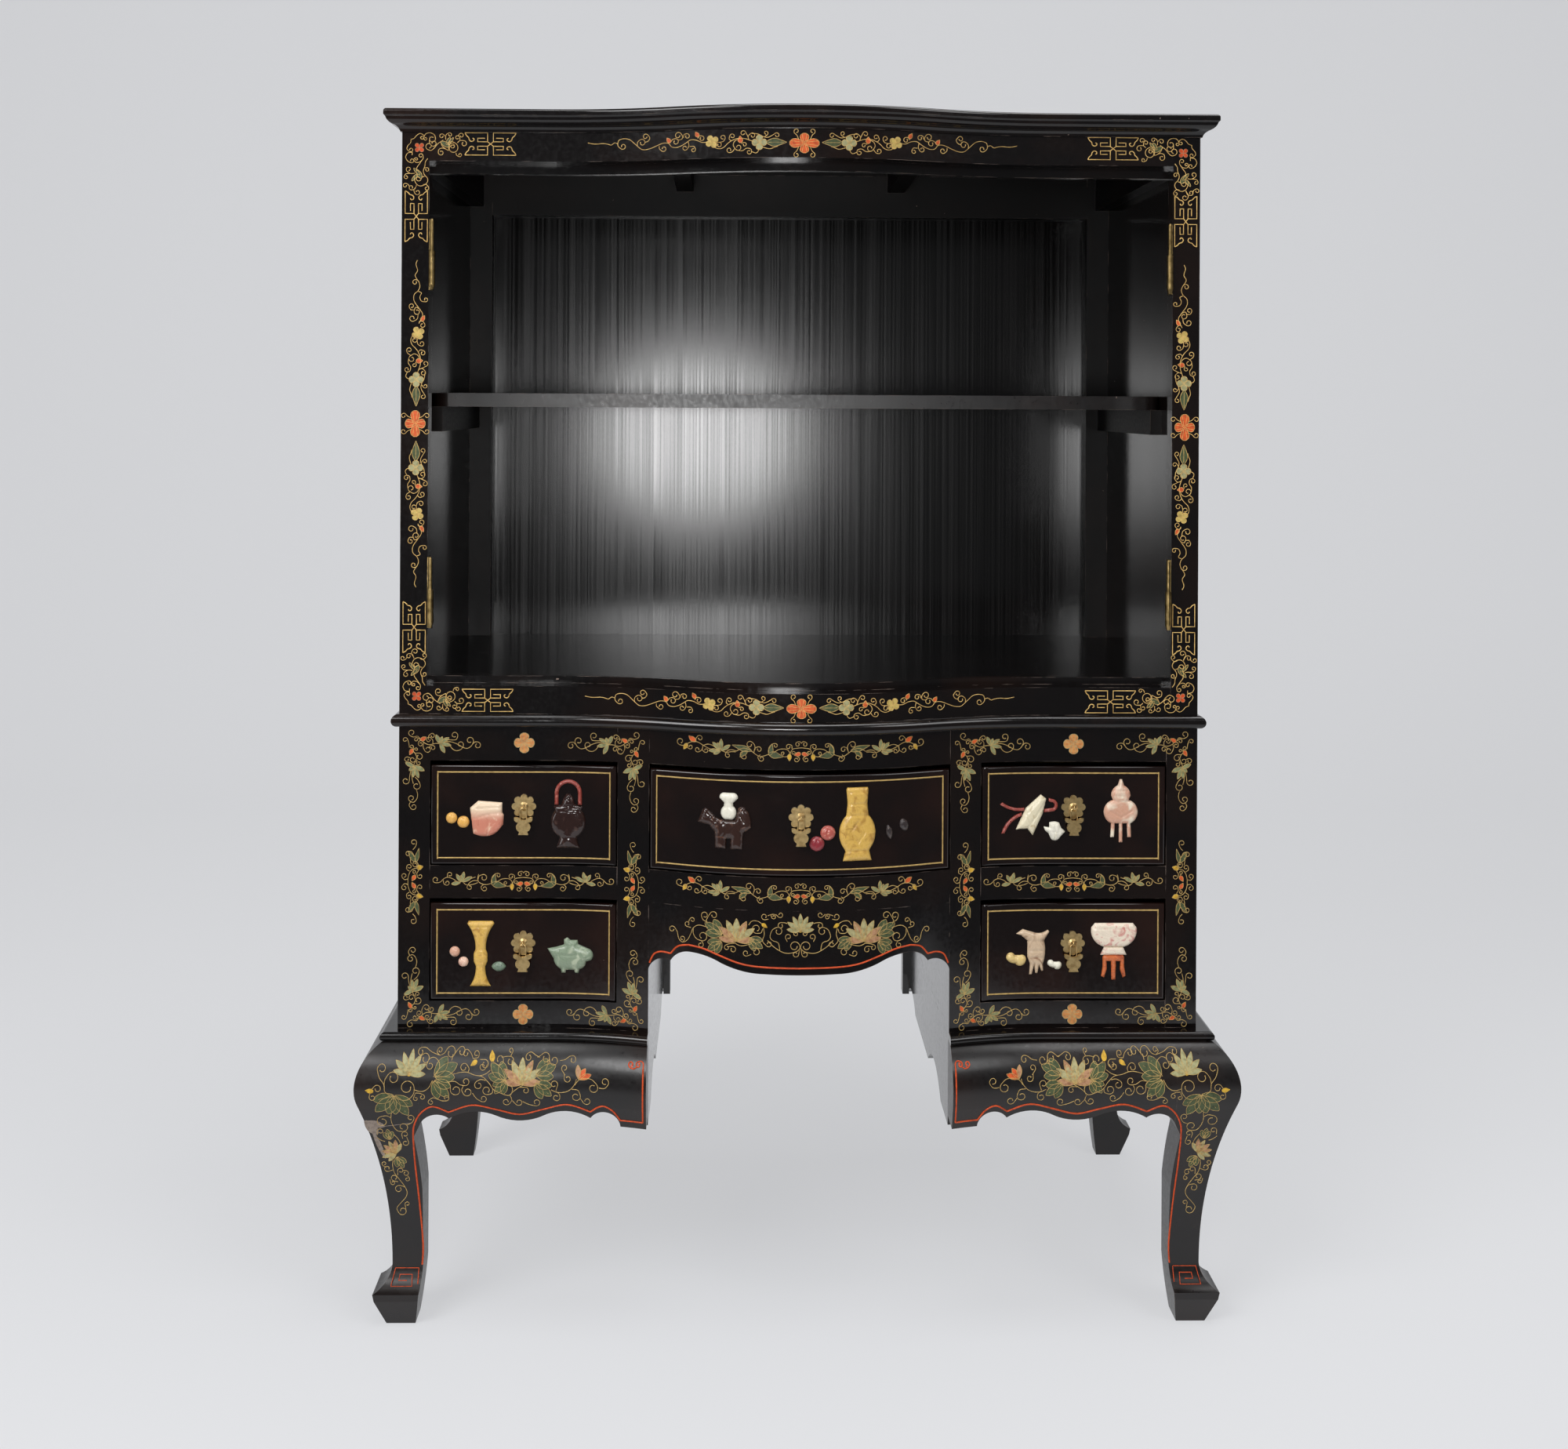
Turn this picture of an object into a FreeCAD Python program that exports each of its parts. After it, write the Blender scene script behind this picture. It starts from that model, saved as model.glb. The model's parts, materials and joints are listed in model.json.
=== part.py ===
import FreeCAD, Part
import math
import os
import re
import Sketcher

# Black lacquer cabinet with a serpentine front, an open upper case, a kneehole lower case with
# five drawers, and a base on four cabriole legs. Millimetres, +Z up, front towards -Y,
# origin on the floor under the middle of the whole piece.

driving_sizes = {
    # Carcass
    "case_width": 1000.0,
    "case_depth": 510.0,
    "bow_depth": 57.0,
    "bow_half_width": 310.0,
    "panel_thickness": 15.0,
    "back_thickness": 10.0,
    "frame_thickness": 25.0,
    # Upper case, from the sill up
    "sill_rail_height": 35.0,
    "door_opening_height": 655.0,
    "head_rail_height": 36.0,
    "cornice_height": 27.0,
    "cornice_overhang": 20.0,
    "cornice_fillet_height": 2.0,
    "cornice_cyma_depth": 18.0,
    "cornice_cyma_height": 17.0,
    "cornice_swell_depth": 1.6,
    "cornice_nose_radius": 4.0,
    "top_thickness": 18.0,
    "upper_stile_width": 34.0,
    "floor_thickness": 18.0,
    "door_stop_depth": 12.0,
    "sill_stop_height": 9.0,
    "head_stop_drop": 13.0,
    "rear_post_width": 33.0,
    "rear_post_depth": 20.0,
    "rear_rail_height": 63.0,
    "side_rail_height": 50.0,
    "side_rail_thickness": 20.0,
    "bearer_spacing": 320.0,
    "bearer_width": 25.0,
    "bearer_height": 25.0,
    "shelf_height": 348.0,
    "shelf_thickness": 18.0,
    "shelf_setback": 135.0,
    "shelf_corner_radius": 22.0,
    "post_notch_clearance": 0.5,
    "cleat_height": 33.0,
    "cleat_thickness": 15.0,
    # Lift-off hinges of the absent doors
    "hinge_leaf_height": 88.0,
    "hinge_leaf_width": 20.0,
    "hinge_leaf_thickness": 2.0,
    "hinge_leaf_clearance": 0.5,
    "upper_hinge_height": 494.0,
    "lower_hinge_height": 72.0,
    "barrel_diameter": 8.0,
    "barrel_height": 42.0,
    "barrel_offset": 6.5,
    "barrel_overhang": 2.0,
    "finial_height": 6.0,
    "hinge_pin_diameter": 5.0,
    "hinge_pin_height": 38.0,
    "hinge_pin_tip_height": 2.0,
    "hinge_tang_diameter": 4.6,
    "hinge_tang_clearance": 0.1,
    # Lower case, from the base up
    "bottom_rail_height": 34.0,
    "lower_drawer_opening": 128.0,
    "middle_rail_height": 41.0,
    "upper_drawer_opening": 131.0,
    "top_rail_height": 42.0,
    "waist_thickness": 16.0,
    "waist_overhang": 9.0,
    "waist_nose_depth": 7.0,
    "outer_stile_width": 39.0,
    "inner_stile_width": 40.0,
    "kneehole_width": 374.0,
    "rear_stile_width": 10.0,
    "rear_stile_depth": 25.0,
    "runner_height": 18.0,
    "runner_width": 16.0,
    "guide_height": 20.0,
    "dust_board_thickness": 12.0,
    # Scalloped kneehole apron
    "knee_apron_end_drop": 82.5,
    "knee_apron_cusp_offset": 28.0,
    "knee_apron_cusp_drop": 69.0,
    "knee_apron_peak_offset": 50.5,
    "knee_apron_peak_drop": 56.0,
    "knee_apron_shoulder_offset": 90.0,
    "knee_apron_shoulder_drop": 66.5,
    "knee_apron_belly_offset": 142.0,
    "knee_apron_belly_drop": 77.5,
    "knee_apron_end_arch_height": 7.0,
    "knee_apron_steep_arch_height": 3.6,
    "knee_apron_arch_height": 2.4,
    "knee_apron_swell_height": 2.8,
    "knee_apron_belly_height": 0.8,
    # Base
    "leg_height": 352.0,
    "base_thickness": 11.0,
    "base_overhang": 19.0,
    "base_nose_depth": 5.0,
    "apron_setback": 8.0,
    "apron_depth": 106.0,
    "apron_spandrel_width": 36.0,
    "apron_spandrel_drop": 88.0,
    "apron_pendant_offset": 156.0,
    "apron_pendant_width": 58.0,
    "side_pendant_width": 110.0,
    "apron_pendant_drop": 84.0,
    "apron_pendant_depth": 7.0,
    "apron_cusp_offset": 69.0,
    "apron_cusp_drop": 86.0,
    "apron_corner_offset": 32.0,
    "apron_end_drop": 95.0,
    "apron_spandrel_arch_height": 9.0,
    "apron_wide_arch_height": 7.7,
    "apron_small_arch_height": 14.0,
    "inner_apron_depth": 107.0,
    "inner_apron_front_width": 68.0,
    "inner_apron_front_arch_width": 150.0,
    "inner_apron_front_arch_height": 25.0,
    "inner_apron_back_width": 14.0,
    "inner_apron_back_arch_width": 106.0,
    "inner_apron_back_arch_height": 18.0,
    "rear_apron_thickness": 20.0,
    "rear_apron_arch_height": 10.0,
    # Cabriole legs: overhang is outward from the case, drop is down from the top of the leg
    "leg_inset": 34.0,
    "knee_top_overhang": 16.0,
    "knee_overhang": 45.0,
    "knee_drop": 50.0,
    "ankle_overhang": 4.0,
    "ankle_height": 72.0,
    "toe_overhang": 25.0,
    "toe_height": 42.0,
    "toe_lip_height": 9.0,
    "toe_lip_overhang": 23.5,
    "pad_overhang": 10.0,
    "pad_inset": 26.0,
    "calf_inset": 25.5,
    "calf_drop": 114.0,
    "calf_hollow_depth": 10.0,
    "spandrel_drop": 96.0,
    # Drawers
    "drawer_gap": 1.0,
    "drawer_top_gap": 6.0,
    "drawer_front_thickness": 20.0,
    "drawer_side_thickness": 12.0,
    "drawer_bottom_thickness": 7.0,
    "drawer_bottom_offset": 6.0,
    "drawer_back_clearance": 50.0,
    "drawer_side_height": 100.0,
    "drawer_side_clearance": 1.2,
    "drawer_running_clearance": 0.3,
    # Brass drop pulls
    "pull_height": 8.5,
    "plate_thickness": 1.6,
    "plate_disc_radius": 11.0,
    "petal_count": 8.0,
    "petal_radius": 4.3,
    "petal_offset": 10.9,
    "boss_radius": 5.5,
    "boss_top_radius": 3.2,
    "boss_height": 1.8,
    "loop_offset": 6.2,
    "loop_radius": 2.6,
    "loop_wire_diameter": 1.6,
    "drop_seat_clearance": 0.3,
    "drop_bow_radius": 4.0,
    "drop_thickness": 3.6,
    "drop_neck_width": 5.0,
    "drop_bar_width": 23.0,
    "drop_bar_offset": 12.0,
    "drop_bar_height": 6.0,
    "drop_bar_swell_depth": 1.2,
    "drop_vase_width": 18.0,
    "drop_foot_offset": 29.5,
    "drop_foot_width": 10.0,
    "drop_base_width": 12.5,
    "drop_length": 33.5,
    # Hardstone pieces on the drawer fronts
    "stone_relief_depth": 5.0,
}

# Hardstone pieces of each drawer: the outline they are cut to, where their middle sits to the right
# of the pull and above it, and how wide and high they are
stones = {
    "left_top_drawer": {
        "near_plum": ("bead", -75.4, -19.6, 15.0, 15.0),
        "far_plum": ("bead", -90.0, -14.7, 14.0, 14.0),
        "brush_block": ("block", -46.0, -15.2, 42.0, 44.0),
        "ewer": ("ewer", 55.3, -18.1, 44.0, 67.6),
        "ewer_handle": ("handle", 55.3, 17.0, 34.0, 30.0),
    },
    "left_bottom_drawer": {
        "near_berry": ("bead", -74.4, -23.5, 12.6, 12.6),
        "far_berry": ("bead", -85.2, -10.8, 13.0, 13.0),
        "beaker": ("beaker", -53.0, -13.2, 34.0, 81.0),
        "seed": ("seed", -30.4, -29.4, 18.0, 12.0),
        "teapot": ("teapot", 58.3, -15.2, 56.0, 44.0),
    },
    "centre_drawer": {
        "lion": ("lion", -93.5, -15.7, 65.0, 50.6),
        "lion_vase": ("flower_vase", -88.3, 12.0, 22.0, 34.0),
        "near_peach": ("bead", 19.5, -32.5, 18.5, 18.5),
        "far_peach": ("bead", 33.0, -19.5, 18.5, 18.5),
        "bottle_vase": ("bottle", 69.2, -9.5, 50.6, 89.7),
        "near_fig": ("fig", 109.0, -21.0, 12.0, 18.0),
        "far_fig": ("fig", 127.5, -13.4, 17.0, 15.0),
    },
    "right_top_drawer": {
        "upper_cord": ("tail", -77.3, 0.5, 31.0, 12.0),
        "lower_cord": ("bent_tail", -78.0, -19.5, 26.0, 26.0),
        "cord_loop": ("cord_loop", -27.3, 2.2, 19.0, 18.0),
        "clappers": ("clappers", -53.4, -9.8, 38.2, 51.0),
        "lotus": ("lotus", -23.5, -28.4, 27.0, 25.0),
        "censer": ("censer", 59.7, -4.4, 45.0, 79.0),
    },
    "right_bottom_drawer": {
        "near_nut": ("nut", -72.5, -17.6, 26.0, 18.0),
        "far_nut": ("nut", -23.5, -25.5, 18.6, 12.6),
        "wine_cup": ("wine_cup", -50.4, -10.8, 42.0, 57.0),
        "bowl": ("bowl", 51.9, 10.8, 57.0, 31.0),
        "bowl_collar": ("collar", 51.4, -9.7, 33.0, 10.0),
        "bowl_stand": ("stand", 51.4, -30.2, 31.0, 31.0),
    },
}
for pieces in stones.values():
    for stone_name, row in pieces.items():
        for size_name, value in zip(("offset", "rise", "width", "height"), row[1:]):
            driving_sizes[f"{stone_name}_{size_name}"] = value

# Places that follow from the driving sizes
places = {
    "half_width": "case_width / 2",
    "front_y": "(bow_depth + cornice_overhang - case_depth) / 2",
    "back_y": "front_y + case_depth",
    "bow_radius": "(bow_half_width ^ 2 + bow_depth ^ 2) / (4 * bow_depth)",
    "bow_front": "front_y - bow_depth",
    "frame_back": "front_y + frame_thickness",
    "panel_front": "back_y - back_thickness",
    "post_front": "panel_front - rear_post_depth",
    "inner_half": "half_width - panel_thickness",
    "kneehole_half": "kneehole_width / 2",
    "wall_outer": "kneehole_half + panel_thickness",
    "opening_inner": "kneehole_half + inner_stile_width",
    "opening_outer": "half_width - outer_stile_width",
    "door_half": "half_width - upper_stile_width",
    "leg_edge": "half_width - leg_inset",
    "base_top": "leg_height + base_thickness",
    "lower_drawer_bottom": "base_top + bottom_rail_height",
    "lower_drawer_top": "lower_drawer_bottom + lower_drawer_opening",
    "upper_drawer_bottom": "lower_drawer_top + middle_rail_height",
    "upper_drawer_top": "upper_drawer_bottom + upper_drawer_opening",
    "lower_top": "upper_drawer_top + top_rail_height",
    "upper_bottom": "lower_top + waist_thickness",
    "floor_top": "upper_bottom + sill_rail_height",
    "door_top": "floor_top + door_opening_height",
    "head_top": "door_top + head_rail_height",
    "total_height": "head_top + cornice_height",
    "carcass_top": "total_height - top_thickness",
    "bearer_bottom": "carcass_top - bearer_height",
    "dust_board_bottom": "upper_drawer_bottom - dust_board_thickness",
    "shelf_bottom": "floor_top + shelf_height",
    "shelf_front": "front_y + shelf_setback",
    "knee_height": "leg_height - knee_drop",
    "apron_low_edge": "leg_height - apron_depth",
    "apron_spandrel_level": "leg_height - apron_spandrel_drop",
    "apron_pendant_level": "leg_height - apron_pendant_drop",
    "apron_cusp_level": "leg_height - apron_cusp_drop",
    "apron_end_level": "leg_height - apron_end_drop",
    "inner_apron_level": "leg_height - inner_apron_depth",
    "spandrel_height": "leg_height - spandrel_drop",
    "calf_height": "leg_height - calf_drop",
    "knee_radius": "((knee_overhang - knee_top_overhang) ^ 2 + (leg_height - knee_height) ^ 2)"
                   " / (2 * (knee_overhang - knee_top_overhang))",
    "knee_centre": "knee_overhang - knee_radius",
    "hollow_radius": "((ankle_overhang - knee_centre) ^ 2 + (knee_height - ankle_height) ^ 2"
                     " - knee_radius ^ 2) / (2 * (knee_radius - ankle_overhang + knee_centre))",
    "hollow_centre": "ankle_overhang + hollow_radius",
    "knee_share": "knee_radius / (knee_radius + hollow_radius)",
    "knee_turn_reach": "knee_centre + (hollow_centre - knee_centre) * knee_share",
    "knee_turn_height": "knee_height - (knee_height - ankle_height) * knee_share",
    "apron_low_reach": "hollow_centre - sqrt(hollow_radius ^ 2 - (apron_low_edge - ankle_height) ^ 2)",
    "flare_radius": "((toe_overhang - ankle_overhang) ^ 2 + (ankle_height - toe_height) ^ 2)"
                    " / (2 * (toe_overhang - ankle_overhang))",
    "plate_radius": "petal_offset + petal_radius",
    "side_pull_x": "(opening_inner + opening_outer) / 2",
    "side_pull_dip": "max(0; bow_half_width - side_pull_x + plate_radius)",
    "side_pull_y": "front_y - bow_radius + sqrt(bow_radius ^ 2 - side_pull_dip ^ 2)",
    "loop_sag": "loop_radius - loop_wire_diameter - drop_seat_clearance",
}

doc = FreeCAD.newDocument("lacquer_cabinet")
sheet = doc.addObject("Spreadsheet::Sheet", "sizes")
for row, (alias, value) in enumerate(driving_sizes.items(), start=1):
    sheet.set(f"A{row}", alias)
    sheet.set(f"B{row}", str(value))
    sheet.setAlias(f"B{row}", alias)
doc.recompute()

nodes = []

planes = {
    "plan": FreeCAD.Rotation(),
    "front": FreeCAD.Rotation(FreeCAD.Vector(1, 0, 0), 90),
    "side": FreeCAD.Rotation(FreeCAD.Vector(1, 1, 1), 120),
    "leftward": FreeCAD.Rotation(FreeCAD.Vector(0, 1, 1), 180),
    "forward": FreeCAD.Rotation(
        FreeCAD.Vector(0, -1, 0), FreeCAD.Vector(0, 0, 1), FreeCAD.Vector(-1, 0, 0), "XYZ"),
}


def expression(text):
    # Words that name a size or a place become references to the sheet
    def full(match):
        word = match.group(0)
        if word in places:
            return "(" + expression(places[word]) + ")"
        if word in driving_sizes:
            return "sizes." + word
        return word
    return re.sub(r"[a-z_]+", full, text)


def number(text):
    return float(sheet.evalExpression(expression(text)))


def bind(item, name, text):
    item.setExpression(name, expression(text))


def place(item, x="0", y="0", z="0"):
    for axis, text in (("x", x), ("y", y), ("z", z)):
        bind(item, f"Placement.Base.{axis}", text)


def box(name, x, y, z):
    # Board between the low and high places given along each axis
    board = doc.addObject("Part::Box", name)
    for side, (low, high) in (("Length", x), ("Width", y), ("Height", z)):
        bind(board, side, f"({high}) - ({low})")
    place(board, x[0], y[0], z[0])
    return board


def arc_edge(start, end, turn, radius):
    chord = end - start
    left = FreeCAD.Vector(-chord.y, chord.x, 0).normalize()
    reach = math.sqrt(max(0, radius ** 2 - (chord.Length / 2) ** 2))
    if turn == "right":
        reach = -reach
    circle = Part.Circle((start + end) * 0.5 + left * reach, FreeCAD.Vector(0, 0, 1), radius)
    first, last = (start, end) if turn == "left" else (end, start)
    begin = circle.parameter(first)
    finish = circle.parameter(last)
    if finish <= begin:
        finish += 2 * math.pi
    return Part.ArcOfCircle(circle, begin, finish)


def sketch(name, corners, plane="plan", x="0", y="0", z="0", closed=True):
    # A corner is (x, y), or (x, y, turn, radius) where the edge that leaves it is an arc
    outline = doc.addObject("Sketcher::SketchObject", name)
    outline.Placement.Rotation = planes[plane]
    place(outline, x, y, z)
    points = [FreeCAD.Vector(number(corner[0]), number(corner[1]), 0) for corner in corners]
    count = len(corners) if closed else len(corners) - 1
    starts = []
    ends = []
    for index in range(count):
        here = points[index]
        there = points[(index + 1) % len(corners)]
        corner = corners[index]
        if len(corner) == 2:
            edge = outline.addGeometry(Part.LineSegment(here, there), False)
            starts.append((edge, 1))
            ends.append((edge, 2))
            continue
        turn, radius = corner[2:]
        edge = outline.addGeometry(arc_edge(here, there, turn, number(radius)), False)
        starts.append((edge, 1 if turn == "left" else 2))
        ends.append((edge, 2 if turn == "left" else 1))
        rule = outline.addConstraint(Sketcher.Constraint("Radius", edge, number(radius)))
        bind(outline, f"Constraints[{rule}]", radius)
    for index in range(count if closed else count - 1):
        outline.addConstraint(Sketcher.Constraint("Coincident", *ends[index], *starts[(index + 1) % count]))
    anchors = starts if closed else starts + [ends[-1]]
    for corner, point, anchor in zip(corners, points, anchors):
        for kind, text, value in (("DistanceX", corner[0], point.x), ("DistanceY", corner[1], point.y)):
            rule = outline.addConstraint(Sketcher.Constraint(kind, -1, 1, *anchor, value))
            bind(outline, f"Constraints[{rule}]", text)
    return outline


def arch(first, second, rise):
    # Radius of the arc between two corners that rises this far from its chord
    span = f"((({second[0]}) - ({first[0]})) ^ 2 + (({second[1]}) - ({first[1]})) ^ 2)"
    return f"{span} / (8 * ({rise})) + ({rise}) / 2"


def arched(corners, bends):
    # Gives the listed corners their arcs: corner index to (turn, rise)
    shaped = []
    for index, corner in enumerate(corners):
        if index in bends:
            turn, rise = bends[index]
            following = corners[(index + 1) % len(corners)]
            corner = corner + (turn, arch(corner, following, rise))
        shaped.append(corner)
    return shaped


def extrude(name, outline, length):
    solid = doc.addObject("Part::Extrusion", name)
    solid.Base = outline
    solid.DirMode = "Normal"
    solid.Solid = True
    bind(solid, "LengthFwd", length)
    return solid


def sweep(name, profile, path, edge_count):
    solid = doc.addObject("Part::Sweep", name)
    solid.Sections = [profile]
    solid.Spine = (path, [f"Edge{index}" for index in range(1, edge_count + 1)])
    solid.Solid = True
    solid.Transition = "Right corner"
    return solid


def common(name, first, second):
    shared = doc.addObject("Part::Common", name)
    shared.Base = first
    shared.Tool = second
    return shared


def cut(name, first, second):
    rest = doc.addObject("Part::Cut", name)
    rest.Base = first
    rest.Tool = second
    return rest


def fuse(name, *pieces):
    whole = doc.addObject("Part::MultiFuse", name)
    whole.Shapes = list(pieces)
    return whole


def mirrored(name, source):
    copy = doc.addObject("Part::Mirroring", name)
    copy.Source = source
    copy.Normal = FreeCAD.Vector(1, 0, 0)
    return copy


def copy_at(name, source, x, y, z):
    copy = doc.addObject("Part::Compound", name)
    copy.Links = [source]
    place(copy, x, y, z)
    return copy


def group(name, *pieces):
    whole = doc.addObject("Part::Compound", name)
    whole.Links = list(pieces)
    return whole


def node(name, piece):
    piece.Label = name
    nodes.append(piece)
    return piece


def pair(name, left):
    # The left-hand piece and its mirror image
    return node(name, group(name, left, mirrored(name + "_right_hand", left)))


# The serpentine front in plan: straight at the sides, hollow, then round in the middle

def bow_points(setback):
    # Where the hollow meets the round middle, for a face set back from the case front
    round_radius = f"(bow_radius - ({setback}))"
    x = f"({round_radius} * bow_half_width / (2 * bow_radius))"
    slope = "(bow_depth - 2 * bow_radius) / (2 * bow_radius)"
    y = f"(front_y - bow_depth + bow_radius + {round_radius} * {slope})"
    return x, y


def bow_corners(setback):
    x, y = bow_points(setback)
    straight = f"front_y + ({setback})"
    hollow = f"bow_radius + ({setback})"
    return [
        ("-bow_half_width", straight, "right", hollow),
        (f"-{x}", y, "left", f"bow_radius - ({setback})"),
        (x, y, "right", hollow),
        ("bow_half_width", straight),
    ]


def front_block(name, setback):
    # Everything behind a serpentine face, wider than the case, to trim boards to that face
    straight = f"front_y + ({setback})"
    corners = [("-case_width", "case_depth"), ("-case_width", straight)]
    corners += bow_corners(setback)
    corners += [("case_width", straight), ("case_width", "case_depth")]
    return extrude(name, sketch(name + "_outline", corners), "total_height")


face_block = front_block("face_block", "0")
apron_block = front_block("apron_block", "apron_setback")
drawer_block = front_block("drawer_block", "drawer_front_thickness")
frame_block = front_block("frame_block", "frame_thickness")
stop_block = front_block("stop_block", "frame_thickness + door_stop_depth")
frame_sheet = cut("frame_sheet", face_block, frame_block)
drawer_sheet = cut("drawer_sheet", face_block, drawer_block)
stop_sheet = cut("stop_sheet", frame_block, stop_block)

whole_depth = ("bow_front", "back_y")
frame_depth = ("bow_front", "frame_back")
door_span = ("-door_half", "door_half")
inner_span = ("-inner_half", "inner_half")


def trimmed(name, shape, x, y, z):
    return common(name, shape, box(name + "_blank", x, y, z))


# Upper case

upper_height = ("upper_bottom", "carcass_top")
side_span = ("-half_width", "-inner_half")
side_depth = ("frame_back", "back_y")
pair("upper_sides", box("upper_side", side_span, side_depth, upper_height))
pair("upper_stiles", box(
    "upper_stile", ("-half_width", "-door_half"), ("front_y", "frame_back"), upper_height))
node("head_rail", trimmed("head_rail", frame_sheet, door_span, frame_depth, ("door_top", "carcass_top")))
node("sill_rail", trimmed("sill_rail", frame_sheet, door_span, frame_depth, ("upper_bottom", "floor_top")))
stop_depth = ("bow_front", "frame_back + door_stop_depth")
node("door_stops", group(
    "door_stops",
    trimmed("sill_stop", stop_sheet, inner_span, stop_depth, ("floor_top", "floor_top + sill_stop_height")),
    trimmed("head_stop", stop_sheet, inner_span, stop_depth,
            ("door_top - head_stop_drop", "bearer_bottom")),
))
node("upper_back_panel", box("upper_back_panel", inner_span, ("panel_front", "back_y"), upper_height))
post_span = ("-inner_half", "-inner_half + rear_post_width")
post_depth = ("post_front", "panel_front")
pair("rear_posts", box("rear_post", post_span, post_depth, ("floor_top", "carcass_top")))
side_rail = box(
    "side_rail", ("-inner_half", "-inner_half + side_rail_thickness"),
    ("frame_back + door_stop_depth", "post_front"), ("carcass_top - side_rail_height", "carcass_top"))
bearer = trimmed(
    "bearer", frame_block, ("-(bearer_spacing + bearer_width) / 2", "-(bearer_spacing - bearer_width) / 2"),
    ("bow_front", "post_front"), ("bearer_bottom", "carcass_top"))
rear_rail_half = "inner_half - rear_post_width"
node("top_framing", group(
    "top_framing", side_rail, mirrored("right_side_rail", side_rail),
    bearer, mirrored("right_bearer", bearer),
    box("rear_rail", (f"-({rear_rail_half})", rear_rail_half), post_depth,
        ("carcass_top - rear_rail_height", "carcass_top")),
))
node("cabinet_floor", trimmed(
    "cabinet_floor", frame_block, inner_span, ("bow_front", "panel_front"),
    ("floor_top - floor_thickness", "floor_top")))
node("top_board", trimmed(
    "top_board", face_block, ("-half_width", "half_width"), whole_depth, ("carcass_top", "total_height")))


# Shelf with rounded front corners, notched round the rear posts

notch_x = "inner_half - rear_post_width - post_notch_clearance"
notch_y = "post_front - post_notch_clearance"
round_x = "inner_half - shelf_corner_radius"
round_y = "shelf_front + shelf_corner_radius"
shelf_outline = sketch("shelf_outline", [
    ("-inner_half", notch_y),
    ("-inner_half", round_y, "left", "shelf_corner_radius"),
    (f"-({round_x})", "shelf_front"),
    (round_x, "shelf_front", "left", "shelf_corner_radius"),
    ("inner_half", round_y),
    ("inner_half", notch_y),
    (notch_x, notch_y),
    (notch_x, "panel_front"),
    (f"-({notch_x})", "panel_front"),
    (f"-({notch_x})", notch_y),
], z="shelf_bottom")
node("shelf", extrude("shelf", shelf_outline, "shelf_thickness"))
pair("shelf_cleats", box(
    "shelf_cleat", ("-inner_half", "-inner_half + cleat_thickness"), ("shelf_front", "post_front"),
    ("shelf_bottom - cleat_height", "shelf_bottom")))


# Hinge halves left on the stiles, each a leaf with its barrel and a standing pin

barrel_x = "-door_half + barrel_diameter / 2"
barrel_y = "front_y - barrel_overhang"


def hinge_half(name, level):
    bottom = f"floor_top + ({level})"
    leaf_span = ("-door_half", "-door_half + hinge_leaf_thickness")
    leaf_front = f"{barrel_y} + barrel_diameter / 2 + hinge_leaf_clearance"
    leaf = box(
        name + "_leaf", leaf_span, (leaf_front, f"{barrel_y} + hinge_leaf_width"),
        (bottom, f"{bottom} + hinge_leaf_height"))
    tab = box(
        name + "_tab", leaf_span, (barrel_y, leaf_front),
        (f"{bottom} + barrel_offset", f"{bottom} + barrel_offset + barrel_height"))
    tube = doc.addObject("Part::Cylinder", name + "_tube")
    bind(tube, "Radius", "barrel_diameter / 2")
    bind(tube, "Height", "barrel_height")
    place(tube, barrel_x, barrel_y, f"{bottom} + barrel_offset")
    finial = doc.addObject("Part::Cone", name + "_finial")
    bind(finial, "Radius1", "barrel_diameter / 4")
    bind(finial, "Radius2", "barrel_diameter / 2")
    bind(finial, "Height", "finial_height")
    place(finial, barrel_x, barrel_y, f"{bottom} + barrel_offset - finial_height")
    bore = doc.addObject("Part::Cylinder", name + "_bore")
    bind(bore, "Radius", "(hinge_tang_diameter + hinge_tang_clearance) / 2")
    bind(bore, "Height", "hinge_leaf_height")
    place(bore, barrel_x, barrel_y, f"{bottom} + barrel_offset")
    return cut(name, fuse(name + "_body", leaf, tab, tube, finial), bore)


def hinge_pin(name, level):
    # The tang sits in the barrel and the thicker shank stands on the barrel's rim
    seat = f"floor_top + ({level}) + barrel_offset"
    tang = doc.addObject("Part::Cylinder", name + "_tang")
    bind(tang, "Radius", "hinge_tang_diameter / 2")
    bind(tang, "Height", "barrel_height")
    place(tang, barrel_x, barrel_y, seat)
    shank = doc.addObject("Part::Cylinder", name + "_shank")
    bind(shank, "Radius", "hinge_pin_diameter / 2")
    bind(shank, "Height", "hinge_pin_height")
    place(shank, barrel_x, barrel_y, f"{seat} + barrel_height")
    tip = doc.addObject("Part::Cone", name + "_tip")
    bind(tip, "Radius1", "hinge_pin_diameter / 2")
    bind(tip, "Radius2", "hinge_pin_diameter / 4")
    bind(tip, "Height", "hinge_pin_tip_height")
    place(tip, barrel_x, barrel_y, f"{seat} + barrel_height + hinge_pin_height")
    return fuse(name, tang, shank, tip)


hinge_levels = {"upper": "upper_hinge_height", "lower": "lower_hinge_height"}
left_hinges = [hinge_half(f"{name}_hinge", level) for name, level in hinge_levels.items()]
left_pins = [hinge_pin(f"{name}_hinge_pin", level) for name, level in hinge_levels.items()]
node("hinge_leaves", group(
    "hinge_leaves", *left_hinges, *[mirrored(half.Name + "_right_hand", half) for half in left_hinges]))
node("hinge_pins", group(
    "hinge_pins", *left_pins, *[mirrored(pin.Name + "_right_hand", pin) for pin in left_pins]))


# Cornice, waist and base mouldings run round the sides and the serpentine front

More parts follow.
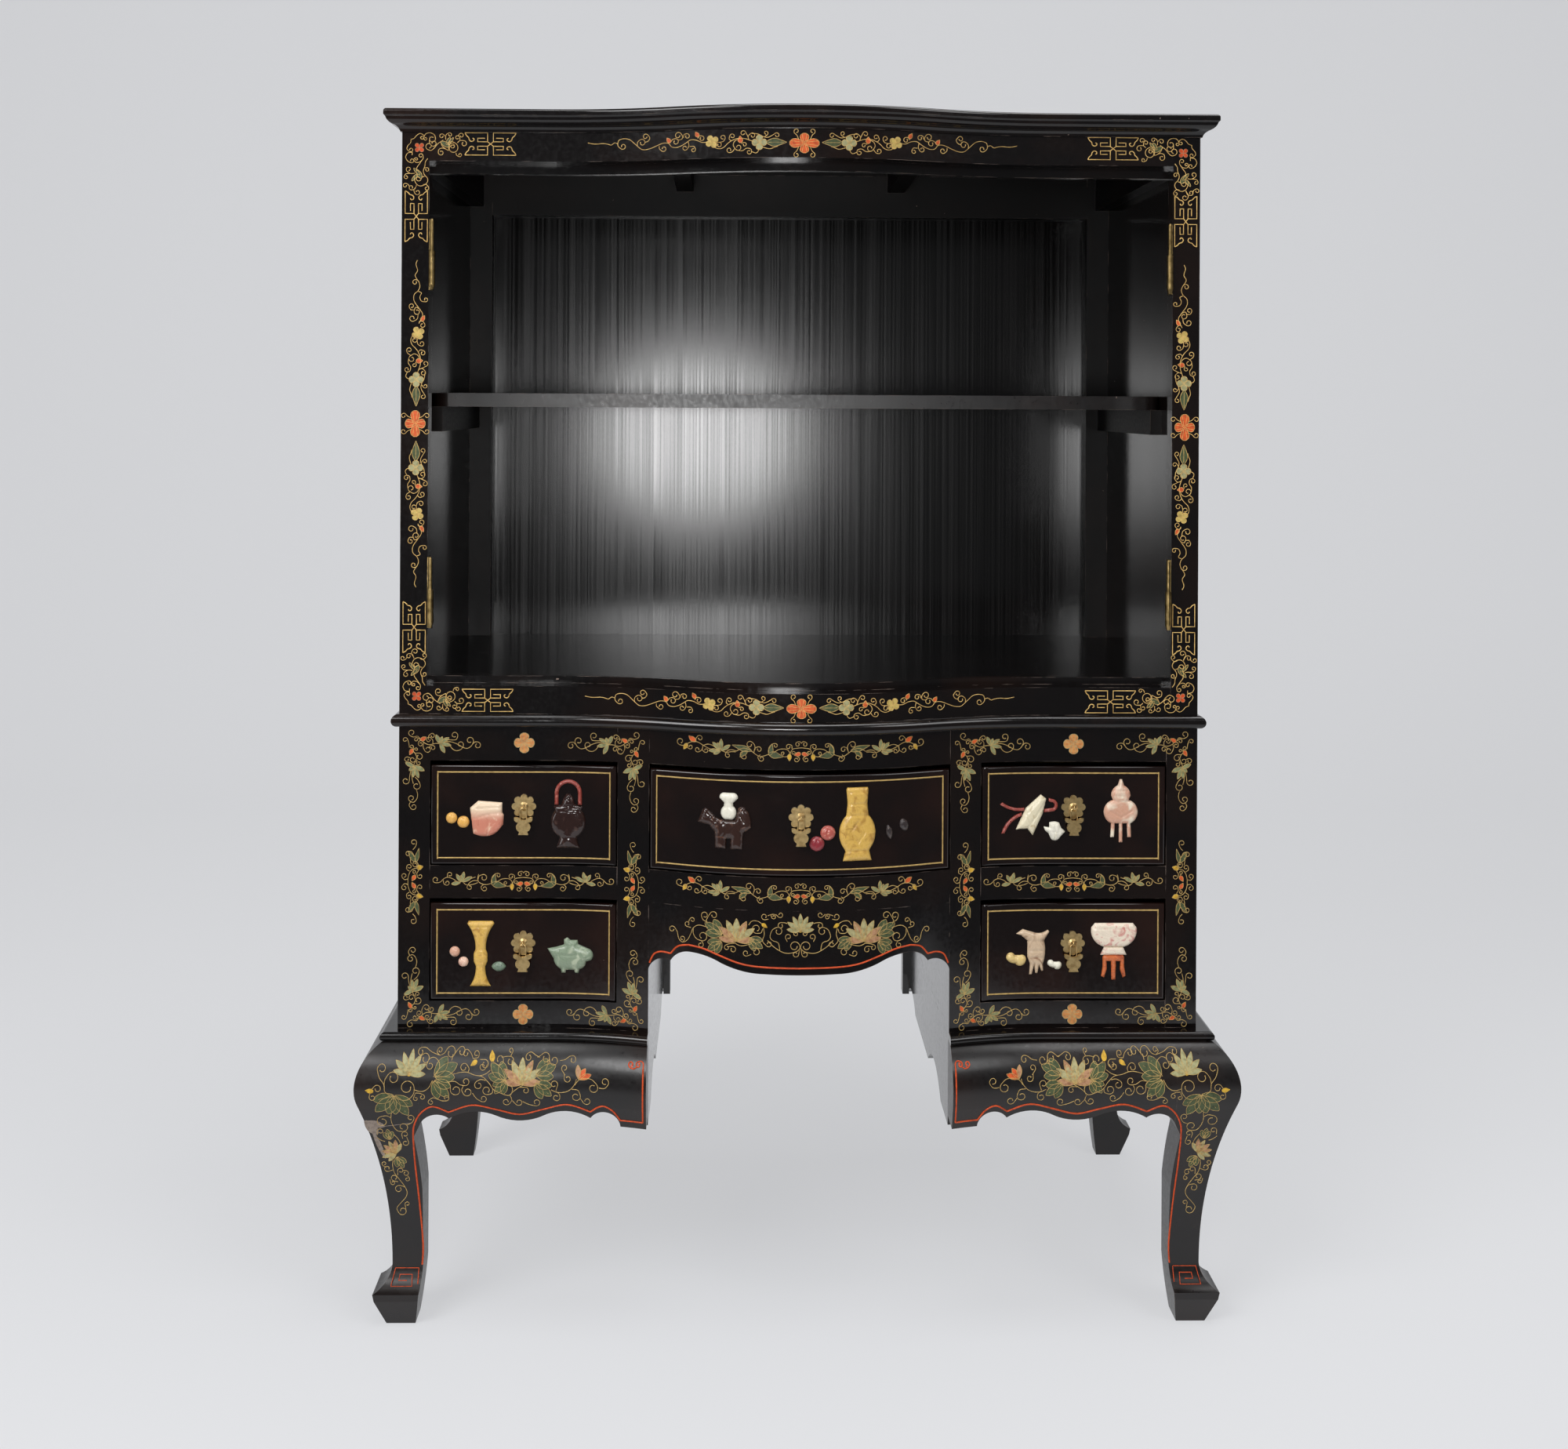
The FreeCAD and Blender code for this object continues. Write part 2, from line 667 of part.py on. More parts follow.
case_path_corners = [("-half_width", "back_y"), ("-half_width", "front_y")]
case_path_corners += bow_corners("0")
case_path_corners += [("half_width", "front_y"), ("half_width", "back_y")]


def case_moulding(name, corners, level, edge_count=7):
    path = sketch(name + "_path", case_path_corners, z=level, closed=False)
    profile = sketch(name + "_profile", corners, "leftward", "-half_width", "back_y", level)
    return sweep(name, profile, path, edge_count)


cornice_corners = arched([
    ("0", "0"), ("cornice_fillet_height", "0"),
    ("(cornice_fillet_height + cornice_cyma_depth) / 2", "cornice_cyma_height / 2"),
    ("cornice_cyma_depth", "cornice_cyma_height"),
    ("cornice_overhang", "cornice_cyma_height + cornice_fillet_height"),
    ("cornice_overhang", "cornice_height - cornice_nose_radius", "left", "cornice_nose_radius"),
    ("cornice_overhang - cornice_nose_radius", "cornice_height"), ("0", "cornice_height"),
], {1: ("right", "cornice_swell_depth"), 2: ("left", "cornice_swell_depth")})
node("cornice_moulding", case_moulding("cornice_moulding", cornice_corners, "head_top"))
waist_corners = arched([
    ("0", "0"), ("waist_overhang - waist_nose_depth", "0"),
    ("waist_overhang - waist_nose_depth", "waist_thickness"), ("0", "waist_thickness"),
], {1: ("left", "waist_nose_depth")})
node("waist_moulding", case_moulding("waist_moulding", waist_corners, "lower_top"))


# Lower case

lower_height = ("base_top", "lower_top")
node("lower_top_board", trimmed(
    "lower_top_board", face_block, ("-half_width", "half_width"), whole_depth,
    ("lower_top", "upper_bottom")))
pair("lower_sides", box("lower_side", side_span, side_depth, lower_height))
wall_span = ("-wall_outer", "-kneehole_half")
kneehole_wall = box("kneehole_wall", wall_span, ("frame_back", "back_y"), lower_height)
rear_stile = box(
    "kneehole_rear_stile", ("-kneehole_half", "-kneehole_half + rear_stile_width"),
    ("back_y - rear_stile_depth", "back_y"), ("inner_apron_level", "dust_board_bottom"))
node("kneehole_walls", group(
    "kneehole_walls", kneehole_wall, mirrored("right_kneehole_wall", kneehole_wall),
    rear_stile, mirrored("right_kneehole_rear_stile", rear_stile)))
outer_stile = box("outer_stile", ("-half_width", "-opening_outer"), ("front_y", "frame_back"), lower_height)
inner_stile = trimmed(
    "inner_stile", face_block, ("-opening_inner", "-kneehole_half"), frame_depth, lower_height)
node("front_stiles", group(
    "front_stiles", outer_stile, inner_stile,
    mirrored("right_inner_stile", inner_stile), mirrored("right_outer_stile", outer_stile)))

rail_levels = {
    "bottom": ("base_top", "lower_drawer_bottom"),
    "middle": ("lower_drawer_top", "upper_drawer_bottom"),
    "top": ("upper_drawer_top", "lower_top"),
}
pedestal_span = ("-opening_outer", "-opening_inner")
centre_span = ("-kneehole_half", "kneehole_half")
rails = []
for name, level in rail_levels.items():
    rail = trimmed(f"pedestal_{name}_rail", frame_sheet, pedestal_span, frame_depth, level)
    rails += [rail, mirrored(f"right_pedestal_{name}_rail", rail)]
for name in ("middle", "top"):
    rails.append(trimmed(f"centre_{name}_rail", frame_sheet, centre_span, frame_depth, rail_levels[name]))
node("front_rails", group("front_rails", *rails))

drops = {
    "end": "lower_drawer_top - knee_apron_end_drop",
    "cusp": "lower_drawer_top - knee_apron_cusp_drop",
    "peak": "lower_drawer_top - knee_apron_peak_drop",
    "shoulder": "lower_drawer_top - knee_apron_shoulder_drop",
    "belly": "lower_drawer_top - knee_apron_belly_drop",
}
cusp_x = "kneehole_half - knee_apron_cusp_offset"
peak_x = "kneehole_half - knee_apron_peak_offset"
shoulder_x = "kneehole_half - knee_apron_shoulder_offset"
belly_x = "kneehole_half - knee_apron_belly_offset"
kneehole_outline = arched([
    ("-kneehole_half", "lower_drawer_top"), ("-kneehole_half", drops["end"]),
    (f"-({cusp_x})", drops["cusp"]), (f"-({peak_x})", drops["peak"]),
    (f"-({shoulder_x})", drops["shoulder"]), (f"-({belly_x})", drops["belly"]),
    (belly_x, drops["belly"]), (shoulder_x, drops["shoulder"]),
    (peak_x, drops["peak"]), (cusp_x, drops["cusp"]),
    ("kneehole_half", drops["end"]), ("kneehole_half", "lower_drawer_top"),
], {1: ("right", "knee_apron_end_arch_height"), 2: ("right", "knee_apron_steep_arch_height"),
    3: ("right", "knee_apron_arch_height"), 4: ("left", "knee_apron_swell_height"),
    5: ("left", "knee_apron_belly_height"), 6: ("left", "knee_apron_swell_height"),
    7: ("right", "knee_apron_arch_height"), 8: ("right", "knee_apron_steep_arch_height"),
    9: ("right", "knee_apron_end_arch_height")})
apron_stock = extrude(
    "kneehole_apron_stock", sketch("kneehole_apron_outline", kneehole_outline, "front", y="frame_back"),
    "frame_thickness + bow_depth")
node("kneehole_apron", common("kneehole_apron", drawer_sheet, apron_stock))

pedestal_back = box(
    "pedestal_back", ("-inner_half", "-wall_outer"), ("panel_front", "back_y"), lower_height)
centre_back = box("centre_back", centre_span, ("panel_front", "back_y"), ("dust_board_bottom", "lower_top"))
node("lower_back_panels", group(
    "lower_back_panels", pedestal_back, centre_back, mirrored("right_pedestal_back", pedestal_back)))
node("centre_dust_board", trimmed(
    "centre_dust_board", frame_block, centre_span, ("bow_front", "panel_front"),
    ("dust_board_bottom", "upper_drawer_bottom")))

runner_depth = ("frame_back", "panel_front")
runners = []
for name, level in (("lower", "lower_drawer_bottom"), ("upper", "upper_drawer_bottom")):
    runner_level = (f"{level} - runner_height", level)
    guide_level = (level, f"{level} + guide_height")
    spans = {
        f"{name}_outer_runner": (("-inner_half", "-opening_outer + runner_width"), runner_level),
        f"{name}_inner_runner": (("-opening_inner - runner_width", "-wall_outer"), runner_level),
        f"{name}_outer_guide": (("-inner_half", "-opening_outer"), guide_level),
        f"{name}_inner_guide": (("-opening_inner", "-wall_outer"), guide_level),
    }
    for strip_name, (span, strip_level) in spans.items():
        strip = box(strip_name, span, runner_depth, strip_level)
        runners += [strip, mirrored("right_" + strip_name, strip)]
node("drawer_runners", group("drawer_runners", *runners))


# Base boards, mouldings and the bulging scalloped aprons

left_pedestal = ("-half_width", "-kneehole_half")
pair("base_boards", trimmed(
    "base_board", face_block, left_pedestal, whole_depth, ("leg_height", "base_top")))
base_corners = arched([
    ("0", "0"), ("base_overhang - base_nose_depth", "0"),
    ("base_overhang - base_nose_depth", "base_thickness"), ("0", "base_thickness"),
], {1: ("left", "base_nose_depth")})
reach_span = ("-half_width - knee_overhang", "-kneehole_half")
reach_depth = ("bow_front - knee_overhang", "back_y")
pair("base_mouldings", trimmed(
    "base_moulding", case_moulding("base_moulding_round", base_corners, "leg_height", 4),
    reach_span, reach_depth, ("leg_height", "base_top")))

apron_profile_corners = [
    ("knee_top_overhang", "leg_height", "right", "knee_radius"),
    ("knee_turn_reach", "knee_turn_height", "left", "hollow_radius"),
    ("apron_low_reach", "apron_low_edge"),
    ("-apron_setback", "apron_low_edge"),
    ("-apron_setback", "leg_height"),
]
front_apron_path = sketch(
    "front_apron_path", [("-leg_edge", "front_y")] + bow_corners("0")[:2], closed=False)
front_apron_profile = sketch(
    "front_apron_profile", apron_profile_corners, "forward", "-leg_edge", "front_y")
front_apron_round = trimmed(
    "front_apron_round", sweep("front_apron_sweep", front_apron_profile, front_apron_path, 2),
    ("-leg_edge", "-kneehole_half"), reach_depth, ("apron_low_edge", "leg_height"))
apron_floor = "apron_low_edge - apron_setback"
front_scallop = arched([
    ("-kneehole_half", apron_floor), ("-kneehole_half", "apron_end_level"),
    ("-kneehole_half - apron_corner_offset", "apron_end_level"),
    ("-kneehole_half - apron_cusp_offset", "apron_cusp_level"),
    ("-kneehole_half - apron_pendant_offset + apron_pendant_width / 2", "apron_pendant_level"),
    ("-kneehole_half - apron_pendant_offset - apron_pendant_width / 2", "apron_pendant_level"),
    ("-leg_edge + apron_spandrel_width", "apron_spandrel_level"),
    ("-leg_edge", "spandrel_height"), ("-leg_edge", apron_floor),
], {2: ("left", "apron_small_arch_height"), 3: ("left", "apron_wide_arch_height"),
    4: ("right", "apron_pendant_depth"), 5: ("left", "apron_wide_arch_height"),
    6: ("left", "apron_spandrel_arch_height")})
front_scallop_cutter = extrude(
    "front_scallop_cutter", sketch("front_scallop", front_scallop, "front", y="frame_back"),
    "frame_thickness + bow_depth + knee_overhang")
pair("front_aprons", cut("front_apron", front_apron_round, front_scallop_cutter))

side_front = "front_y + leg_inset"
side_back = "back_y - leg_inset"
side_middle = "(front_y + back_y) / 2"
side_apron_bar = extrude(
    "side_apron_bar",
    sketch("side_apron_profile", apron_profile_corners, "leftward", "-half_width", side_front),
    "case_depth - 2 * leg_inset")
side_scallop = arched([
    (side_front, apron_floor), (side_back, apron_floor), (side_back, "spandrel_height"),
    (f"{side_back} - apron_spandrel_width", "apron_spandrel_level"),
    (f"{side_middle} + side_pendant_width / 2", "apron_pendant_level"),
    (f"{side_middle} - side_pendant_width / 2", "apron_pendant_level"),
    (f"{side_front} + apron_spandrel_width", "apron_spandrel_level"), (side_front, "spandrel_height"),
], {2: ("right", "apron_spandrel_arch_height"), 3: ("right", "apron_wide_arch_height"),
    4: ("left", "apron_pendant_depth"), 5: ("right", "apron_wide_arch_height"),
    6: ("right", "apron_spandrel_arch_height")})
side_scallop_cutter = extrude(
    "side_scallop_cutter", sketch("side_scallop", side_scallop, "side", x="-half_width - knee_overhang"),
    "knee_overhang + leg_inset")
pair("side_aprons", cut("side_apron", side_apron_bar, side_scallop_cutter))

front_arch = "front_y + inner_apron_front_width"
back_arch = "back_y - inner_apron_back_width - inner_apron_back_arch_width"
inner_outline = arched([
    ("bow_front", "leg_height"), ("bow_front", "inner_apron_level"), (front_arch, "inner_apron_level"),
    (f"{front_arch} + inner_apron_front_arch_width", "inner_apron_level"), (back_arch, "inner_apron_level"),
    (f"{back_arch} + inner_apron_back_arch_width", "inner_apron_level"), ("back_y", "inner_apron_level"),
    ("back_y", "leg_height"),
], {2: ("right", "inner_apron_front_arch_height"), 4: ("right", "inner_apron_back_arch_height")})
inner_stock = extrude(
    "inner_apron_stock", sketch("inner_apron_outline", inner_outline, "side", x="-wall_outer"),
    "panel_thickness")
pair("inner_aprons", common("inner_apron", apron_block, inner_stock))

rear_outline = arched([
    ("-leg_edge", "leg_height"), ("-leg_edge", "apron_end_level"), ("-wall_outer", "apron_end_level"),
    ("-wall_outer", "leg_height"),
], {1: ("right", "rear_apron_arch_height")})
pair("rear_aprons", extrude(
    "rear_apron", sketch("rear_apron_outline", rear_outline, "front", y="back_y"), "rear_apron_thickness"))


# Cabriole legs, each sawn to its profile from two faces

calf = [("-pad_inset", "0"), ("-calf_inset", "calf_height")]
leg_corners = [
    ("knee_top_overhang", "leg_height", "right", "knee_radius"),
    ("knee_turn_reach", "knee_turn_height", "left", "hollow_radius"),
    ("ankle_overhang", "ankle_height", "left", "flare_radius"),
    ("toe_overhang", "toe_height"),
    ("toe_lip_overhang", "toe_height - toe_lip_height"),
    ("pad_overhang", "0"),
    calf[0] + ("right", arch(calf[0], calf[1], "calf_hollow_depth")),
    calf[1],
    ("-leg_inset", "spandrel_height"),
    ("-leg_inset", "leg_height"),
]
rear_leg_corners = [
    ("0", "leg_height"), ("0", "0"),
    calf[0] + ("right", arch(calf[0], calf[1], "calf_hollow_depth")),
    calf[1],
    ("-leg_inset", "spandrel_height"),
    ("-leg_inset", "leg_height"),
]
leg_stock = "knee_overhang + leg_inset"
front_leg = common(
    "front_left_leg",
    extrude("front_leg_side_cut", sketch(
        "front_leg_side_profile", leg_corners, "leftward", "-half_width", "front_y - knee_overhang"),
        leg_stock),
    extrude("front_leg_front_cut", sketch(
        "front_leg_front_profile", leg_corners, "forward", "-half_width + leg_inset", "front_y"),
        leg_stock))
rear_leg = common(
    "rear_left_leg",
    extrude("rear_leg_side_cut", sketch(
        "rear_leg_side_profile", leg_corners, "leftward", "-half_width", "back_y - leg_inset"),
        "leg_inset"),
    extrude("rear_leg_back_cut", sketch(
        "rear_leg_back_profile", rear_leg_corners, "side", "-half_width - knee_overhang", "back_y"),
        leg_stock))
node("front_left_leg", front_leg)
node("front_right_leg", mirrored("front_right_leg", front_leg))
node("rear_left_leg", rear_leg)
node("rear_right_leg", mirrored("rear_right_leg", rear_leg))


# Brass pull: a petalled plate with a cotter loop, and the drop that hangs in the loop

def disc(name, radius, x="0", y="0", z="0", thickness="plate_thickness"):
    plate = doc.addObject("Part::Cylinder", name)
    bind(plate, "Radius", radius)
    bind(plate, "Height", thickness)
    plate.Placement.Rotation = planes["front"]
    place(plate, x, y, z)
    return plate


def ring(name, radius, wire, rotation, y, z):
    torus = doc.addObject("Part::Torus", name)
    bind(torus, "Radius1", radius)
    bind(torus, "Radius2", wire)
    torus.Placement.Rotation = rotation
    place(torus, "0", y, z)
    return torus


petals = []
for index in range(int(driving_sizes["petal_count"])):
    angle = f"{index} * 360deg / petal_count"
    petals.append(disc(f"petal_{index}", "petal_radius", f"petal_offset * sin({angle})", "0",
                       f"petal_offset * cos({angle})"))
boss = doc.addObject("Part::Cone", "plate_boss")
bind(boss, "Radius1", "boss_radius")
bind(boss, "Radius2", "boss_top_radius")
bind(boss, "Height", "boss_height")
boss.Placement.Rotation = planes["front"]
place(boss, "0", "-plate_thickness")
across = FreeCAD.Rotation(FreeCAD.Vector(0, 1, 0), 90)
cotter = ring("cotter_loop", "loop_radius", "loop_wire_diameter / 2", across, "-loop_offset", "0")
plate_pattern = fuse("plate_pattern", disc("plate_disc", "plate_disc_radius"), *petals, boss, cotter)

# The drop's right-hand outline from the winged bar down to the base, and the arcs along it
bar_middle = "-drop_bar_offset - drop_bar_height / 2"
drop_half = [
    ("drop_neck_width / 2", bar_middle),
    ("drop_bar_width / 2", "-drop_bar_offset"),
    ("drop_bar_width / 2", bar_middle),
    ("drop_neck_width", "-drop_bar_offset - drop_bar_height"),
    ("drop_foot_width / 2", "-drop_foot_offset"),
    ("drop_base_width / 2", "-drop_length"),
]
drop_bends = {
    0: "drop_bar_swell_depth",
    2: "drop_bar_swell_depth",
    3: "(drop_vase_width - drop_foot_width) / 2",
}
last = len(drop_half) - 1
drop_outline = [(f"-({x})", y) for x, y in drop_half] + drop_half[::-1]
drop_arcs = {index: ("left", rise) for index, rise in drop_bends.items()}
drop_arcs.update({2 * last - index: ("left", rise) for index, rise in drop_bends.items()})
upright = FreeCAD.Rotation(FreeCAD.Vector(1, 0, 0), 90)
drop_sketch = sketch("drop_outline", arched(drop_outline, drop_arcs), "front", y="drop_thickness / 2")

# The bow it hangs by: half a ring on two straight shanks that stand on the bar
bow = ring("drop_bow", "drop_bow_radius", "loop_wire_diameter / 2", upright, "0", "-drop_bow_radius")
bow.Angle3 = 180
shanks = []
for side_name, sign in (("left", -1), ("right", 1)):
    shank = doc.addObject("Part::Cylinder", f"{side_name}_drop_shank")
    bind(shank, "Radius", "loop_wire_diameter / 2")
    bind(shank, "Height", "drop_bar_offset + drop_bar_height / 2 - drop_bow_radius")
    place(shank, f"{sign} * drop_bow_radius", "0", bar_middle)
    shanks.append(shank)
drop_pattern = fuse("drop_pattern", extrude("drop_casting", drop_sketch, "drop_thickness"), bow, *shanks)


# Hardstone pieces, sawn to an outline and bedded on the drawer's face. A corner of an outline is given
# in shares of the piece's width and height from its middle, then the turn and rise of an arc that leaves it

def symmetric(half):
    # A whole outline from its right-hand half, listed from the bottom up
    left = []
    for index in range(len(half) - 1, -1, -1):
        bend = half[index - 1][2:] if index > 0 else ()
        left.append((-half[index][0], half[index][1]) + bend)
    return half + left


stone_outlines = {
    "bead": [(-0.5, 0, "left", 0.49), (0.5, 0, "left", 0.49)],
    "seed": [(-0.5, 0, "left", 0.33), (0.5, 0, "left", 0.33)],
    "fig": [(0.15, -0.5, "left", 0.33), (-0.15, 0.5, "left", 0.33)],
    "block": [
        (-0.4, -0.43, "left", 0.03), (0, -0.5, "left", 0.03), (0.31, -0.37), (0.48, -0.17), (0.5, 0.1),
        (0.45, 0.17), (0.45, 0.45), (-0.26, 0.5), (-0.5, 0.3), (-0.45, -0.08)],
    "ewer": symmetric([
        (0.33, -0.5), (0.24, -0.3, "left", 0.18), (0.38, 0.2), (0.42, 0.27), (0.2, 0.3), (0.14, 0.42),
        (0.05, 0.5)]),
    "handle": [
        (0.5, -0.5), (0.5, 0, "left", 0.49), (-0.5, 0), (-0.5, -0.5), (-0.36, -0.5),
        (-0.36, 0, "right", 0.35), (0.36, 0), (0.36, -0.5)],
    "beaker": symmetric([
        (0.38, -0.5, "right", 0.06), (0.17, -0.2), (0.25, -0.12), (0.25, 0), (0.19, 0.06, "right", 0.09),
        (0.5, 0.46), (0.44, 0.5)]),
    "teapot": [
        (-0.5, 0.19), (-0.36, -0.1, "left", 0.04), (-0.2, -0.39), (-0.18, -0.5), (-0.1, -0.5),
        (-0.08, -0.41), (0.1, -0.41), (0.12, -0.5), (0.19, -0.5), (0.22, -0.39, "left", 0.04),
        (0.36, -0.17), (0.48, -0.12, "left", 0.06), (0.43, 0.19), (0.19, 0.31), (0.17, 0.43), (0.01, 0.43),
        (-0.06, 0.5), (-0.13, 0.45), (-0.13, 0.3), (-0.31, 0.23)],
    "lion": [
        (-0.5, 0.12), (-0.29, 0.06), (-0.18, -0.1), (-0.17, -0.48), (0.03, -0.5), (0.04, -0.26),
        (0.12, -0.26), (0.12, -0.5), (0.34, -0.5), (0.36, -0.1), (0.5, 0.02, "left", 0.04),
        (0.41, 0.46, "left", 0.04), (0.27, 0.5), (0.2, 0.2), (-0.06, 0.2), (-0.17, 0.26),
        (-0.3, 0.43, "left", 0.04), (-0.42, 0.38)],
    "flower_vase": symmetric([
        (0.2, -0.5, "left", 0.2), (0.26, -0.02), (0.24, 0.1), (0.5, 0.26, "left", 0.1), (0.25, 0.46)]),
    "bottle": symmetric([
        (0.35, -0.5), (0.29, -0.37), (0.31, -0.34, "left", 0.15), (0.27, 0.12), (0.24, 0.28), (0.27, 0.47),
        (0.25, 0.5)]),
    "tail": [
        (-0.4, 0.5), (-0.5, 0.28, "left", 0.1), (0.5, -0.42), (0.5, -0.08, "right", 0.1)],
    "bent_tail": [
        (-0.5, -0.5), (-0.34, -0.5, "right", 0.14), (0.5, 0.34), (0.5, 0.5, "left", 0.18)],
    "cord_loop": [
        (-0.5, -0.5), (0.16, -0.4, "left", 0.28), (0.1, 0.42), (-0.2, 0.5), (-0.2, 0.28),
        (0.06, 0.2, "right", 0.12), (0.08, -0.18), (-0.5, -0.26)],
    "clappers": [
        (-0.5, -0.35), (-0.12, -0.33), (0.06, -0.5), (0.37, 0), (0.5, 0.4), (0.32, 0.5), (-0.17, 0.17)],
    "lotus": [
        (-0.3, -0.15), (-0.16, -0.46, "left", 0.05), (0.14, -0.5), (0.3, -0.3), (0.5, -0.08), (0.32, 0.08),
        (0.21, 0.35, "left", 0.05), (-0.25, 0.36), (-0.25, 0.12), (-0.5, 0.16, "left", 0.05)],
    "censer": symmetric([
        (0.05, -0.5), (0.05, -0.2), (0.17, -0.2), (0.19, -0.42), (0.29, -0.42), (0.27, -0.2, "left", 0.23),
        (0.22, 0.17), (0.27, 0.24, "left", 0.05), (0.09, 0.4), (0.03, 0.5)]),
    "nut": [
        (-0.42, -0.1, "left", 0.06), (0, -0.42, "left", 0.16), (0.5, -0.3, "left", 0.14), (0.25, 0.16),
        (-0.02, 0.16, "left", 0.22)],
    "wine_cup": [
        (-0.5, 0.4), (-0.34, 0.36), (-0.16, 0.25), (-0.16, -0.1), (-0.08, -0.26), (-0.1, -0.5),
        (-0.03, -0.5), (0.05, -0.28), (0.08, -0.47), (0.14, -0.47), (0.2, -0.3), (0.27, -0.43),
        (0.32, -0.41), (0.31, -0.26, "left", 0.05), (0.34, 0.25), (0.5, 0.44), (0.45, 0.48, "right", 0.05),
        (0.05, 0.42), (-0.3, 0.5)],
    "bowl": symmetric([(0.22, -0.5, "left", 0.1), (0.5, 0.28), (0.42, 0.46)]),
    "collar": symmetric([(0.5, -0.5), (0.36, 0.5)]),
    "stand": symmetric([
        (0.08, -0.5), (0.1, 0.24), (0.28, 0.24), (0.27, -0.1), (0.38, -0.42), (0.5, -0.36), (0.44, 0),
        (0.44, 0.42), (0.38, 0.5)]),
}
stone_block = front_block("stone_block", "-stone_relief_depth")
stone_sheet = cut("stone_sheet", stone_block, face_block)


def stone(name, outline, pull_x, pull_z):
    width = f"{name}_width"
    corners = [(f"({corner[0]}) * {width}", f"({corner[1]}) * {name}_height") for corner in outline]
    bends = {
        index: (corner[2], f"{corner[3]} * {width}")
        for index, corner in enumerate(outline) if len(corner) > 2}
    face = sketch(
        name + "_outline", arched(corners, bends), "front", f"{pull_x} + {name}_offset", "front_y",
        f"{pull_z} + {name}_rise")
    return common(name, stone_sheet, extrude(name + "_blank", face, "bow_depth + stone_relief_depth"))


# Drawers

def drawer(name, span, level, face_y):
    left, right = span
    bottom, top = level
    front = trimmed(
        f"{name}_front", drawer_sheet, (f"{left} + drawer_gap", f"{right} - drawer_gap"), frame_depth,
        (f"{bottom} + drawer_gap", f"{top} - drawer_top_gap"))
    node(f"{name}_front", front)
    outer_left = f"{left} + drawer_side_clearance"
    outer_right = f"{right} - drawer_side_clearance"
    inner_left = f"{outer_left} + drawer_side_thickness"
    inner_right = f"{outer_right} - drawer_side_thickness"
    box_back = "panel_front - drawer_back_clearance"
    back_front = f"{box_back} - drawer_side_thickness"
    floor_level = f"{bottom} + drawer_running_clearance"
    wall = (floor_level, f"{floor_level} + drawer_side_height")
    panel = (f"{floor_level} + drawer_bottom_offset",
             f"{floor_level} + drawer_bottom_offset + drawer_bottom_thickness")
    box_depth = ("bow_front", box_back)
    boards = [
        trimmed(f"{name}_left_board", drawer_block, (outer_left, inner_left), box_depth, wall),
        trimmed(f"{name}_right_board", drawer_block, (inner_right, outer_right), box_depth, wall),
        box(f"{name}_back_board", (inner_left, inner_right), (back_front, box_back), wall),
        trimmed(f"{name}_bottom_board", drawer_block, (inner_left, inner_right),
                ("bow_front", back_front), panel),
    ]
    node(f"{name}_box", group(f"{name}_box", *boards))
    middle_x = f"(({left}) + ({right})) / 2"
    pull_z = f"(({bottom}) + ({top})) / 2 + pull_height"
    node(f"{name}_pull_plate", copy_at(f"{name}_pull_plate", plate_pattern, middle_x, face_y, pull_z))
    node(f"{name}_pull_drop", copy_at(
        f"{name}_pull_drop", drop_pattern, middle_x, f"{face_y} - loop_offset", f"{pull_z} - loop_sag"))
    cut_stones = [
        stone(stone_name, stone_outlines[row[0]], middle_x, pull_z)
        for stone_name, row in stones[name].items()]
    node(f"{name}_stones", group(f"{name}_stones", *cut_stones))


left_span = ("-opening_outer", "-opening_inner")
right_span = ("opening_inner", "opening_outer")
lower_level = ("lower_drawer_bottom", "lower_drawer_top")
upper_level = ("upper_drawer_bottom", "upper_drawer_top")
drawer("left_top_drawer", left_span, upper_level, "side_pull_y")
drawer("left_bottom_drawer", left_span, lower_level, "side_pull_y")
drawer("centre_drawer", centre_span, upper_level, "bow_front")
drawer("right_top_drawer", right_span, upper_level, "side_pull_y")
drawer("right_bottom_drawer", right_span, lower_level, "side_pull_y")


doc.recompute()
for item in doc.Objects:
    if "Invalid" in item.State or "Error" in item.State:
        raise RuntimeError(f"{item.Name} failed: {item.State}")
for piece in nodes:
    if piece.Shape.isNull() or not piece.Shape.isValid() or not piece.Shape.Solids:
        raise RuntimeError(f"{piece.Label} has no valid solid")
os.makedirs("parts", exist_ok=True)
for piece in nodes:
    piece.Shape.exportStep(f"parts/{piece.Label}.step")
    print(piece.Label, len(piece.Shape.Solids), "solids", round(piece.Shape.Volume), "cubic mm")
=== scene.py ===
import json
import math

import bmesh
import bpy
from mathutils import Matrix, Vector
from mathutils.geometry import delaunay_2d_cdt
from mathutils.kdtree import KDTree


